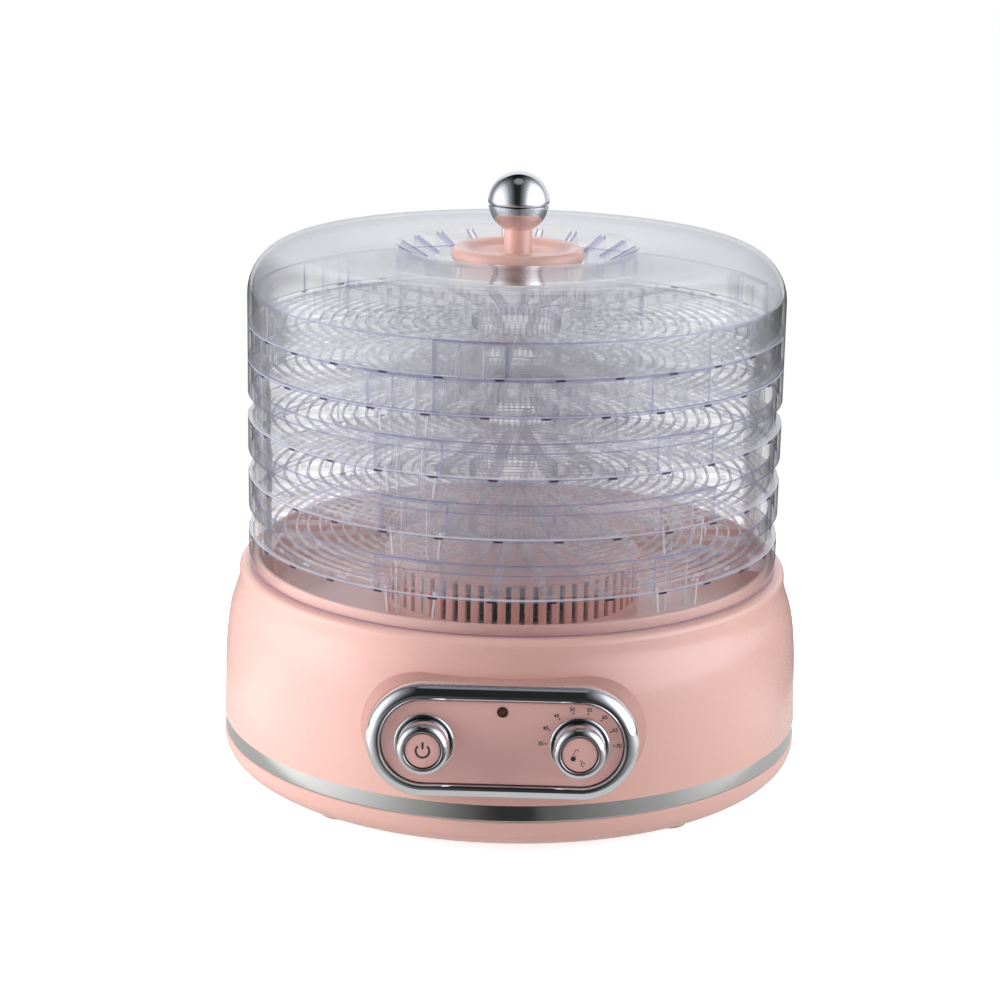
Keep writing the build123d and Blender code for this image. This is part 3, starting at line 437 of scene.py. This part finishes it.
def spangled(name, code, other_code, roughness, scale, metallic=1.0):
    """A sheet metal or mineral whose grains differ a little in colour and in gloss."""
    made, tree, place = new_material(name)
    grains = node(tree, "ShaderNodeTexVoronoi", {"Vector": place, "Scale": scale})
    shade = node(tree, "ShaderNodeSeparateColor", {0: grains.outputs["Color"]}).outputs[0]
    colour = blended(tree, shade, linear(code), linear(other_code))
    gloss = mapped(tree, shade, 0.0, 1.0, roughness, roughness + 0.15)
    inputs = {"Base Color": colour, "Metallic": metallic, "Roughness": gloss}
    show_principled(tree, inputs)
    return made


steel_parts = ["cover_screws", "heat_duct", "duct_screws", "motor_bracket", "bracket_screws"]
steel_parts += ["fan_motor", "motor_screws", "motor_shaft", "thermal_cutout", "board_screws"]
steel_parts += ["temp_knob_shaft", "handle_washer", "handle_screw"]
finish_nodes(steel_parts, spangled("zinc_plated_steel", "#A9ACB2", "#C2C3C2", 0.28, 420.0))
finish_nodes(["heater_frame"], spangled("mica_sheet", "#9C8F74", "#B9AD92", 0.45, 900.0, 0.0))
finish_nodes(["heater_coil"], spangled("oxidised_wire", "#5E5752", "#857B73", 0.45, 2400.0))
brass = spangled("turned_brass", "#C8A45A", "#D8B873", 0.25, 1600.0)
finish_nodes(["terminal_screws", "handle_insert"], brass)
finish_nodes(["fan_impeller", "power_switch", "temp_control"], black_nylon)
white_nylon = moulded_nylon("white_nylon", "#DAD9D2", 0.45)
finish_nodes(["terminal_block", "power_button_stem"], white_nylon)
finish_nodes(["wiring"], moulded_nylon("red_silicone_sleeve", "#B3261F", 0.4))
finish_nodes(["control_board"], spangled("solder_mask", "#1F5B36", "#2A6E43", 0.35, 300.0, 0.0))
finish_nodes(["indicator_led"], moulded_nylon("red_epoxy", "#A3211B", 0.15))


# ---------------------------------------------------------------------------------------------
# Panel bezel. A chrome-plated ABS frame in the shape of a racetrack, crowned towards its inner
# edge, pinned to the boss. A dark groove parts it from the plate inside it.
# ---------------------------------------------------------------------------------------------

chrome = bare_metal("chrome_plate", "#E6E7EA", 0.035, 300.0)
outline = [(27.9, -7.0), (27.9, -4.6)] + oval(22.6, -4.6, 5.3, 6.5, 0, 90, 14)[1:]
outline += oval(22.0, 0.6, 1.3, 1.3, 100, 180, 6) + [(20.7, -2.9), (18.6, -2.9), (18.6, -7.0)]
bezel = put_on_panel(stretch(lathe("panel_bezel", outline, steps=130), STRAIGHT))
dress(bezel, "base", [chrome], smooth=50, stands_for=["panel_bezel"])


# ---------------------------------------------------------------------------------------------
# Panel plate. The pink plate inside the bezel, dustier than the shell because it is painted,
# with round holes for both controls and the lamp, and a printed dial of plain numbers.
# ---------------------------------------------------------------------------------------------

painted_pink = abs_plastic("painted_pink_plate", "#F1BEB8", "#ECB7B1", 0.3)
# how far from the panel's middle both controls and the lamp stand
KNOB_X, KNOB_Y = 36.7, -0.2
LAMP_Y = 15.3
outline = [(0, -2.9), (20.2, -2.9), (20.2, -0.5)] + arc(19.7, -0.5, 0.5, 0, 90, 4) + [(0, 0)]
plate = stretch(lathe("panel_plate", outline, steps=130), STRAIGHT)
for x, y, radius in ((-KNOB_X, KNOB_Y, 12.9), (KNOB_X, KNOB_Y, 12.9), (0, LAMP_Y, 2.6)):
    drill = lathe("drill", [(0, -9), (radius, -9), (radius, 3), (0, 3)], steps=64)
    combine(plate, moved(drill, x, y), "DIFFERENCE")
put_on_panel(plate)
dress(plate, "base", [painted_pink], stands_for=["panel_plate"])


def ink(name, code):
    """Pad-printing ink: matt, a little uneven in depth."""
    made, tree, place = new_material(name)
    gloss = mapped(tree, noise(tree, place, 1800.0), 0.0, 1.0, 0.4, 0.65)
    inputs = {"Base Color": linear(code), "Roughness": gloss}
    show_principled(tree, inputs)
    return made


def printed_text(words, size):
    """Letters as a thin mesh about the origin, face up, their strokes a little fattened."""
    bpy.ops.object.select_all(action="DESELECT")
    bpy.ops.object.text_add()
    piece = start_piece("print")
    piece.data.body = words
    piece.data.size = size * MM
    piece.data.align_x = "CENTER"
    piece.data.align_y = "CENTER"
    piece.data.extrude = 0.03 * MM
    piece.data.offset = 0.045 * MM
    bpy.ops.object.convert(target="MESH")
    return piece


dark_ink = ink("dark_grey_ink", "#33302F")
prints = []
for i in range(8):  # 35 to 70 in steps of 5, clockwise from the left
    angle = radians(177.8 - 25.2 * i)
    dot = lathe("dot", [(0, 0), (0.4, 0), (0.4, 0.03), (0, 0.03)], steps=16)
    prints.append(moved(dot, KNOB_X + 16.15 * cos(angle), KNOB_Y + 16.15 * sin(angle)))
    number = printed_text(str(35 + 5 * i), 2.6)
    prints.append(moved(number, KNOB_X + 18.4 * cos(angle), KNOB_Y + 18.1 * sin(angle), 0.03))
dress(put_on_panel(join(prints, "dial_print")), "base", [dark_ink])


# ---------------------------------------------------------------------------------------------
# Collars. A chrome-plated ring stands on the plate round each control, its rim rounded over.
# ---------------------------------------------------------------------------------------------

for name, x in (("power_collar", -KNOB_X), ("temp_collar", KNOB_X)):
    outline = [(14.5, 0), (14.5, 1.9)] + oval(13.4, 1.9, 1.1, 1.3, 0, 90, 6)[1:]
    outline += [(13.1, 3.2), (12.6, 2.7), (12.6, 0)]
    collar = put_on_panel(lathe(name, outline, steps=96), x, KNOB_Y)
    dress(collar, "base", [chrome], stands_for=[name])


# ---------------------------------------------------------------------------------------------
# Indicator lamp. A small domed lens of smoked red plastic in a black ring, pressed into the
# plate. The lamp behind it is off.
# ---------------------------------------------------------------------------------------------

outline = [(1.9, -2.9), (2.6, -2.9), (2.6, 0.2)] + arc(2.35, 0.2, 0.25, 0, 90, 3) + [(1.9, 0.4)]
lens_ring = put_on_panel(lathe("lens_ring", outline, steps=48), 0, LAMP_Y)
dress(lens_ring, "base", [black_nylon])
outline = [(0, -2.9), (1.9, -2.9), (1.9, 0.1), (1.3, 0.35), (0, 0.45)]
lens = put_on_panel(lathe("indicator_lens", outline, steps=48), 0, LAMP_Y)
smoked, tree, place = new_material("smoked_red_lens")
tone = blended(tree, noise(tree, place, 900.0), linear("#4A2320"), linear("#6E3A35"))
inputs = {"Base Color": tone, "Roughness": 0.12, "Coat Weight": 0.6, "Coat Roughness": 0.05}
show_principled(tree, inputs)
dress(lens, "base", [smoked], stands_for=["indicator_lens"])


# ---------------------------------------------------------------------------------------------
# Power button and temperature knob. Each is a chrome-plated ring with a full round nose, and a
# pink cap sunk a little in its mouth. The button's cap has a power sign; the knob's has a
# thermometer and a degree sign, and its ring a notch for a pointer.
# ---------------------------------------------------------------------------------------------


def control_ring(name):
    """The ring of either control about the origin, face up."""
    outline = [(10.8, -2.4), (12.4, -2.4)] + oval(9.4, 11.8, 3.0, 3.8, 0, 90, 12)
    outline += arc(9.3, 15.2, 0.4, 90, 180, 3)
    outline += [(8.9, 11.0), (4.0, 11.0), (4.0, 9.0), (10.8, 9.0)]
    return lathe(name, outline, steps=96)


def control_cap(name):
    """The cap of either control about the origin, face up, very slightly domed."""
    outline = [(0, 11.4), (8.2, 11.4), (8.2, 14.5)] + arc(7.7, 14.5, 0.5, 0, 80, 4)
    return lathe(name, outline + [(4.5, 15.12), (0, 15.2)], steps=64)


power_ring = put_on_panel(control_ring("power_button_ring"), -KNOB_X, KNOB_Y)
dress(power_ring, "power_button", [chrome], 40, ["power_button_ring"])
power_cap = put_on_panel(control_cap("power_button_cap"), -KNOB_X, KNOB_Y)
dress(power_cap, "power_button", [painted_pink], 35, ["power_button_cap"])
outline = [(2.68, 15.14), (3.62, 15.12), (3.62, 15.19), (2.68, 15.21)]
sign = turned(lathe("sign", outline, steps=48, turn=276), 48)
bar = lathe("bar", [(0, 15.15), (0.5, 15.15), (0.5, 15.22), (0, 15.22)], steps=26)
bar = moved(turned(stretch(bar, 1.25), 90), 0, 2.6)
sign = put_on_panel(join([sign, bar], "power_sign"), -KNOB_X, KNOB_Y)
dress(sign, "power_button", [dark_ink])

ring = control_ring("temp_knob_ring")
notch = turned(block("notch", (4.4, 0.9, 1.4), (0, 0, 0)), 50, "Y")
combine(ring, turned(moved(notch, -11.6, 0, 14.0), -27.5), "DIFFERENCE")
put_on_panel(ring, KNOB_X, KNOB_Y)
dress(ring, "temp_knob", [chrome], 40, ["temp_knob_ring"])
temp_cap = put_on_panel(control_cap("temp_knob_cap"), KNOB_X, KNOB_Y)
dress(temp_cap, "temp_knob", [painted_pink], 35, ["temp_knob_cap"])
bulb = moved(lathe("bulb", [(0, 0), (1.2, 0), (1.2, 0.04), (0, 0.04)], steps=32), -3.0, -1.9)
tube = stretch(lathe("tube", [(0.5, 0), (0.85, 0), (0.85, 0.04), (0.5, 0.04)], steps=34), 1.7)
tube = moved(turned(tube, 67), -2.1, 0.4)
degree = moved(turned(printed_text("°C", 2.9), -34), 1.0, -4.2, 0.02)
thermometer = moved(join([bulb, tube, degree], "thermometer"), 0, 0, 15.13)
dress(put_on_panel(thermometer, KNOB_X, KNOB_Y), "temp_knob", [dark_ink])


# ---------------------------------------------------------------------------------------------
# Trays. Five alike, injection-moulded in clear polystyrene with a slight violet cast: a skirt
# that sits over the tray below, a raised rim, a grid floor of spokes and rings round a ribbed
# collar, and six columns, each a pocket open outwards with a tapered leg under it.
# ---------------------------------------------------------------------------------------------


def maths(tree, operation, a, b=0.0):
    """The result of an operation on two values, or on the first of them."""
    return node(tree, "ShaderNodeMath", {0: a, 1: b}, operation=operation).outputs[0]


def layered(tree, share, surface, other):
    """A surface that is the other one by a share from 0 to 1."""
    return node(tree, "ShaderNodeMixShader", {0: share, 1: surface, 2: other}).outputs[0]


def styrene(name, tint, haze_code, haze, roughness, growth=5.0):
    """Clear polystyrene: tinted passage, a little haze and a gloss that grows edge-on."""
    made, tree, place = new_material(name)
    clear = node(tree, "ShaderNodeBsdfTransparent", {"Color": tint + [1.0]}).outputs[0]
    dull = node(tree, "ShaderNodeBsdfDiffuse", {"Color": linear(haze_code)}).outputs[0]
    # flow marks 15 mm long make the haze uneven
    share = mapped(tree, noise(tree, place, 65.0), 0.0, 1.0, haze * 0.6, haze * 1.4)
    # the tool's polish leaves a waviness of 4 mm
    waves = relief(tree, noise(tree, place, 240.0), 0.12, 0.0004)
    inputs = {"Roughness": roughness, "Normal": waves}
    mirror = node(tree, "ShaderNodeBsdfGlossy", inputs).outputs[0]
    facing = node(tree, "ShaderNodeLayerWeight", {"Blend": 0.5}).outputs["Facing"]
    gloss = mapped(tree, maths(tree, "POWER", facing, growth), 0.0, 1.0, 0.03, 1.0)
    show(tree, layered(tree, gloss, layered(tree, share, clear, dull), mirror))
    return made


clear_styrene = styrene("clear_polystyrene", [0.988, 0.987, 0.992], "#E6E7EE", 0.02, 0.03)
# a thin edge gathers the violet of all the plastic behind it
styrene_edge = styrene("polystyrene_edge", [0.72, 0.71, 0.87], "#B4B4D8", 0.3, 0.08)
# an edge that the light comes out of
styrene_bright = styrene("polystyrene_lit_edge", [0.90, 0.90, 0.95], "#FAFAFE", 0.55, 0.1)
# the grid's bars are rounded by the tool and shine along their tops
styrene_grid = styrene("polystyrene_grid", [0.975, 0.973, 0.98], "#F2F2F8", 0.14, 0.06, 2.6)
# a moulded round collects less colour than a sharp edge
styrene_round = styrene("polystyrene_round", [0.86, 0.855, 0.93], "#E8E8F6", 0.45, 0.06)
# the ends of the spokes are seen through their whole length
styrene_deep = styrene("polystyrene_deep", [0.36, 0.27, 0.42], "#5B4C66", 0.3, 0.1)
CLEAR, EDGE, BRIGHT, GRID, ROUND, DEEP = range(6)
STYRENES = [clear_styrene, styrene_edge, styrene_bright]
STYRENES += [styrene_grid, styrene_round, styrene_deep]


def moulding(piece, index=CLEAR, test=None):
    """Gives a piece the polystyrene slots, and one of them to the faces that pass a test."""
    for material in STYRENES:
        piece.data.materials.append(material)
    for face in piece.data.polygons:
        face.material_index = index if test is None or test(face) else CLEAR
    return piece


def open_block(name, size, place, directions, wall, foot_share=1.0):
    """A box without the faces that look in some directions, narrowed downwards, with a wall."""
    piece = block(name, size, place)
    for vertex in piece.data.vertices:
        if vertex.co.z < place[2] * MM:
            vertex.co.x *= foot_share
    bpy.ops.object.mode_set(mode="EDIT")
    bpy.ops.mesh.select_mode(type="FACE")
    bpy.ops.mesh.select_all(action="DESELECT")
    bpy.ops.object.mode_set(mode="OBJECT")
    for face in piece.data.polygons:
        face.select = any(face.normal.dot(Vector(d)) > 0.9 for d in directions)
    bpy.ops.object.mode_set(mode="EDIT")
    bpy.ops.mesh.delete(type="FACE")
    bpy.ops.object.mode_set(mode="OBJECT")
    apply_modifier(piece, "SOLIDIFY", thickness=wall * MM, offset=-1)
    return piece


COLUMN_Y, LEG_Y = -129.9, -128.55


def is_outer_edge(face):
    """True for the thin faces of a column that end at its open side."""
    return face.normal.y < -0.8 and face.center.y < COLUMN_Y * MM


outline = [(128.7, -1.6), (128.7, 0), (132.7, 0)] + arc(133.3, 15.8, 0.6, 180, 90, 3)
outline += arc(133.9, 15.8, 0.6, 90, 0, 3) + [(134.5, 0)] + arc(136.4, -0.9, 0.9, 90, 0, 4)
outline += arc(136.7, -17.4, 0.6, 0, -90, 3) + arc(136.1, -17.4, 0.6, -90, -180, 3)
wall = lathe("tray", outline + [(135.5, -1.6)], steps=192)
gap = block("gap", (32.8, 6.6, 17.4), (0, -131.4, 6.1))
combine(wall, ring_of(gap, 6), "DIFFERENCE")
for face in moulding(wall).data.polygons:
    z, reach = face.center.z / MM, face.center.xy.length / MM
    if z < -17.6 or z > 15.9:
        face.material_index = EDGE
    elif -1.0 < z < 0.1 and reach > 134.4:  # the ledge catches the light along its top only
        face.material_index = BRIGHT if z > -0.4 else EDGE
    elif abs(face.normal.z) > 0.5 and reach > 132.6:
        face.material_index = ROUND

parts = [wall]
for i in range(17):
    r = 28.0 + 6.0 * i
    hoop = lathe("hoop", [(r, -1.4), (r + 1.4, -1.4), (r + 1.1, -0.1), (r + 0.3, -0.1)], steps=90)
    parts.append(moulding(hoop, GRID))
spoke = block("spoke", (5.6, 107.0, 1.5), (0, -75.5, -0.85))
moulding(spoke, ROUND, lambda face: face.normal.y < -0.5)
stud = lathe("stud", [(0, 0), (1.3, 0), (1.1, 2.2), (0.6, 2.6), (0, 2.6)], steps=8)
studs = [copied(stud, Matrix.Translation((0, -(37 + 12 * i) * MM, 0))) for i in range(8)]
bpy.data.objects.remove(stud)
studs = moulding(join(studs, "studs"), GRID)
end = moulding(block("end", (4.4, 0.5, 0.9), (0, -137.08, -0.95)), DEEP)
parts.append(ring_of(join([spoke, studs, end], "spoke"), 30, 6.0))

collar = lathe("collar", [(20.8, -5), (22.4, -5), (22.4, 3), (20.8, 3)], steps=96)
parts.append(moulding(collar, EDGE, lambda face: abs(face.normal.z) > 0.5))
flute = moulding(block("flute", (0.9, 0.9, 7.2), (0, -22.7, -1.0)), GRID)
parts.append(ring_of(flute, 48))

OUT, UP, DOWN = (0, -1, 0), (0, 0, 1), (0, 0, -1)
pocket = open_block("pocket", (36.0, 6.8, 18.0), (0, COLUMN_Y, 7.4), [OUT, DOWN], 1.6)
moulding(pocket, EDGE, is_outer_edge)
leg = open_block("leg", (27.0, 4.1, 13.1), (0, LEG_Y, -6.55), [OUT, DOWN, UP], 1.0, 0.911)
moulding(leg, BRIGHT, is_outer_edge)
column = [pocket, leg]
for x in (-6.5, 6.5):
    rib = block("rib", (2.0, 4.1, 26.9), (x, LEG_Y, 0.35))
    apply_modifier(rib, "BEVEL", width=0.45 * MM, segments=1, limit_method="ANGLE")
    column.append(moulding(rib, BRIGHT, lambda face: -0.9 < face.normal.y < -0.3))
parts.append(ring_of(join(column, "column"), 6))
tray = join(parts, "tray")

SKIRT = 18.0  # the skirt's foot is this far under the grid's top
# set down by hand, each tray is turned a little differently
turns = {"tray_5": -20.8, "tray_4": -19.7, "tray_3": -20.9, "tray_2": -22.7, "tray_1": -8.0}
for name, turn in turns.items():
    floor_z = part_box(name)[0][2] + SKIRT * MM
    place = Matrix.Translation((0, 0, floor_z)) @ Matrix.Rotation(radians(turn), 4, "Z")
    piece = copied(tray, place)
    piece.name = piece.data.name = name + "_moulding"
    dress(piece, name, STYRENES, 30, [name])
bpy.data.objects.remove(tray)


# ---------------------------------------------------------------------------------------------
# Lid dome. One moulding of the same clear polystyrene: a straight foot, a broad round corner
# and a flat top sunk in the middle to a cone with twenty long air slots.
# ---------------------------------------------------------------------------------------------

lid_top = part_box("lid_dome")[1][2] / MM - 0.5
foot = lid_top - 39.2
seat = lid_top - 9.2
RIM, CORNER, WALL = 137.3, 25.0, 2.2
outline = [(RIM - WALL, foot), (RIM, foot)]
outline += arc(RIM - CORNER, lid_top - CORNER, CORNER, 0, 90, 18)
outline += [(65.0, lid_top), (63.1, lid_top + 0.5), (62.1, lid_top + 0.3), (61.5, lid_top - 0.4)]
outline += [(46.0, seat), (2.7, seat), (2.7, seat - WALL), (46.6, seat - WALL)]
outline += [(63.1, lid_top - WALL)]
outline += arc(RIM - CORNER, lid_top - CORNER, CORNER - WALL, 90, 0, 18)
dome = lathe("lid_dome", outline, steps=192)
slot = stretch(lathe("slot", [(0, -6), (1.5, -6), (1.5, 4), (0, 4)], steps=26), 7.0)
CONE = -30.4  # the cone's slope
slot = moved(turned(slot, CONE, "Y"), 53.9, 0, lid_top - 4.8)
combine(dome, ring_of(slot, 20, -82.0), "DIFFERENCE")


def is_slot_wall(face):
    """True for the walls of the slots, which look round the axis and not along it."""
    outwards = Vector((face.center.x, face.center.y, 0)).normalized()
    return abs(face.normal.z) < 0.85 and abs(face.normal.dot(outwards)) < 0.4


moulding(dome, EDGE, is_slot_wall)
lid_styrene = styrene("lid_polystyrene", [0.992, 0.992, 0.996], "#F0F1F8", 0.04, 0.035, 3.2)
dome.data.materials[CLEAR] = lid_styrene
dress(dome, "lid", [], 30, ["lid_dome"])


# ---------------------------------------------------------------------------------------------
# Handle. A pink ABS disc with a raised round rim stands in the lid's cone and carries a stem;
# on it sits a chrome-plated ball in two halves, parted by a fine groove under its equator.
# ---------------------------------------------------------------------------------------------

outline = [(2.7, seat), (30.0, seat), (32.0, seat + 0.6), (33.4, seat + 1.9)]
outline += oval(30.3, seat + 3.6, 3.7, 4.8, 0, 90, 10)
outline += [(28.5, seat + 8.25), (26.9, seat + 7.6), (25.2, seat + 6.6), (23.4, seat + 5.2)]
outline += [(21.5, seat + 4.8), (8.6, seat + 4.7), (7.6, seat + 5.1), (7.1, seat + 6.0)]
outline += [(7.1, seat + 22.0), (2.7, seat + 22.0)]
handle = lathe("handle_base", outline, steps=96)
dress(handle, "lid", [pink_abs], stands_for=["handle_base"])

BALL = 15.5
ball_z = seat + 31.1
outline = [(7.15, ball_z - 9), (7.15, ball_z - 13.75)] + arc(0, ball_z, BALL, -61, -6, 14)
outline += [(14.6, ball_z - 1.2), (4.0, ball_z - 1.2), (4.0, ball_z - 9)]
lower = lathe("ball_lower", outline, steps=128)
dress(lower, "lid", [chrome], 40, ["handle_ball_lower"])
outline = [(0, ball_z - 0.9), (14.9, ball_z - 0.9), (15.3, ball_z - 0.7)]
outline += arc(0, ball_z, BALL, -1, 90, 24)
upper = lathe("ball_upper", outline, steps=128)
dress(upper, "lid", [chrome], 40, ["handle_ball_upper"])


# ---------------------------------------------------------------------------------------------
# Stage: a pale floor, soft lamps that light the matt surfaces, and a light tent that only
# mirrors see. The tent has a white panel on each side, a dark slit over the middle for the
# camera, a white backdrop and a dim patch straight above.
# ---------------------------------------------------------------------------------------------

scene = bpy.context.scene
camera_data = bpy.data.cameras.new("camera")
camera_data.lens = 96.0918
camera_data.sensor_width = 36.0
camera_data.clip_end = 20.0
camera = bpy.data.objects.new("camera", camera_data)
camera.location = (0.02580, -1.34367, 0.50380)
camera.rotation_euler = (radians(74.79609), radians(-0.98290), radians(1.65787))
scene.collection.objects.link(camera)
scene.camera = camera
scene.view_settings.view_transform = "Standard"
scene.cycles.transparent_max_bounces = 96
scene.cycles.max_bounces = 14


def glowing(tree, strength, code="#FFFFFF"):
    """A surface that gives off light of a colour."""
    inputs = {"Color": linear(code), "Strength": strength}
    return node(tree, "ShaderNodeEmission", inputs).outputs[0]


world = bpy.data.worlds.new("white_room")
scene.world = world
world.use_nodes = True
tree = world.node_tree
tree.nodes.clear()
path = node(tree, "ShaderNodeLightPath").outputs
seen = maths(tree, "MAXIMUM", path["Is Camera Ray"], path["Is Glossy Ray"])
seen = maths(tree, "MAXIMUM", seen, path["Is Transmission Ray"])
# matt surfaces get a dimmer sky than the one that is seen
skies = [
    node(tree, "ShaderNodeBackground", {"Color": linear("#FFFFFF"), "Strength": level}).outputs[0]
    for level in (0.27, 1.0)
]
node(tree, "ShaderNodeOutputWorld", {"Surface": layered(tree, seen, *skies)})


def ramp_of(tree, value, stops):
    """A grey level that follows a value through stops of (value, level)."""
    made = node(tree, "ShaderNodeValToRGB", {0: value})
    elements = made.color_ramp.elements
    for stop in stops[2:]:
        elements.new(stop[0])
    for element, (at, level) in zip(elements, stops):
        element.position = at
        element.color = (level, level, level, 1.0)
    return made.outputs[0]


def tent_level(tree, direction):
    """How bright the tent is in a direction from the middle of the stage."""
    x, y, z = node(tree, "ShaderNodeSeparateXYZ", {0: direction}).outputs
    # the slit's middle is a little left of straight ahead
    across = maths(tree, "ABSOLUTE", maths(tree, "ADD", x, 0.07))
    stops = [(0.0, 0.01), (0.14, 0.012), (0.28, 0.06), (0.45, 0.17), (0.7, 0.6), (0.88, 1.0)]
    sides = ramp_of(tree, across, stops)
    power = mapped(tree, x, -0.5, 0.5, 1.9, 2.7)
    ahead = mapped(tree, y, 0.05, 0.6, 1.0, 0.2)
    panels = maths(tree, "MULTIPLY", maths(tree, "MULTIPLY", sides, power), ahead)
    behind = mapped(tree, y, 0.58, 0.66)
    outer = mapped(tree, x, -0.3, 0.3, 0.42, 0.85)
    backdrop = maths(tree, "MULTIPLY", behind, mapped(tree, across, 0.25, 0.45, 1.0, outer))
    above = mapped(tree, z, 0.96, 0.99, 0.0, 0.3)
    return maths(tree, "MAXIMUM", maths(tree, "MAXIMUM", panels, backdrop), above)


bpy.ops.object.select_all(action="DESELECT")
bpy.ops.mesh.primitive_plane_add(size=8.0)
floor = start_piece("studio_floor")
paper, tree, place = new_material("white_paper")
path = node(tree, "ShaderNodeLightPath").outputs
distance = node(tree, "ShaderNodeVectorMath", {0: place}, operation="LENGTH").outputs["Value"]
sheet = blended(tree, noise(tree, place, 900.0), linear("#F2F2F2"), linear("#F6F6F6"))
matt = node(tree, "ShaderNodeBsdfDiffuse", {"Color": sheet}).outputs[0]
# the camera sees the sheet brighten to plain white away from the contact shadow
near = node(tree, "ShaderNodeAddShader", {0: matt, 1: glowing(tree, 0.78)}).outputs[0]
shown = layered(tree, mapped(tree, distance, 0.26, 0.7), near, glowing(tree, 1.0))
# mirrors see painted light on the sheet: a pale glow under the part and the panels' light painted
# round it
sides = node(tree, "ShaderNodeVectorMath", {0: place}, operation="NORMALIZE").outputs[0]
x, y = node(tree, "ShaderNodeSeparateXYZ", {0: sides}).outputs[:2]
stops = [(0.0, 0.95), (0.05, 1.0), (0.15, 0.68), (0.25, 0.39), (0.38, 0.15), (0.46, 0.05)]
stops += [(0.49, 0.03), (0.57, 0.03), (0.6, 0.1), (0.64, 0.12), (0.75, 0.22), (0.87, 0.36)]
stops += [(0.985, 0.73)]
around = ramp_of(tree, mapped(tree, x, -1.0, 1.0), stops)
bright = maths(tree, "MULTIPLY", around, mapped(tree, y, 0.0, 0.3, 1.35, 0.35))
beyond = mapped(tree, distance, 0.226, 0.242)
level = node(tree, "ShaderNodeMix", {0: beyond, 2: 0.62, 3: bright}, data_type="FLOAT").outputs[0]
seen = maths(tree, "MAXIMUM", path["Is Camera Ray"], path["Is Transmission Ray"])
unmirrored = layered(tree, seen, matt, shown)
show(tree, layered(tree, path["Is Glossy Ray"], unmirrored, glowing(tree, level)))
floor.data.materials.append(paper)

TENT, HEIGHT = 2400, 2200
outline = [(TENT, 1), (TENT, HEIGHT), (0, HEIGHT)]
tent = lathe("light_tent", outline, steps=96, closed=False)
cloth, tree, place = new_material("tent_cloth")
direction = node(tree, "ShaderNodeVectorMath", {0: place}, operation="NORMALIZE").outputs[0]
show(tree, glowing(tree, tent_level(tree, direction), "#F5F8FF"))
tent.data.materials.append(cloth)
tent.visible_camera = tent.visible_diffuse = tent.visible_shadow = False
tent.visible_transmission = tent.visible_volume_scatter = False

for name, watts, place in (
    ("left_softbox", 15.0, (-1.15, -0.30, 0.45)),
    ("right_softbox", 8.0, (1.15, -0.30, 0.45)),
    ("back_softbox", 5.0, (0.0, 0.70, 1.05)),
):
    lamp_data = bpy.data.lights.new(name, "AREA")
    lamp_data.shape = "RECTANGLE"
    lamp_data.size, lamp_data.size_y = 0.7, 0.9
    lamp_data.energy = watts
    lamp = bpy.data.objects.new(name, lamp_data)
    lamp.location = place
    aim = Vector((0, 0, 0.12)) - lamp.location
    lamp.rotation_euler = aim.to_track_quat("-Z", "Y").to_euler()
    lamp.visible_camera = lamp.visible_glossy = False
    scene.collection.objects.link(lamp)
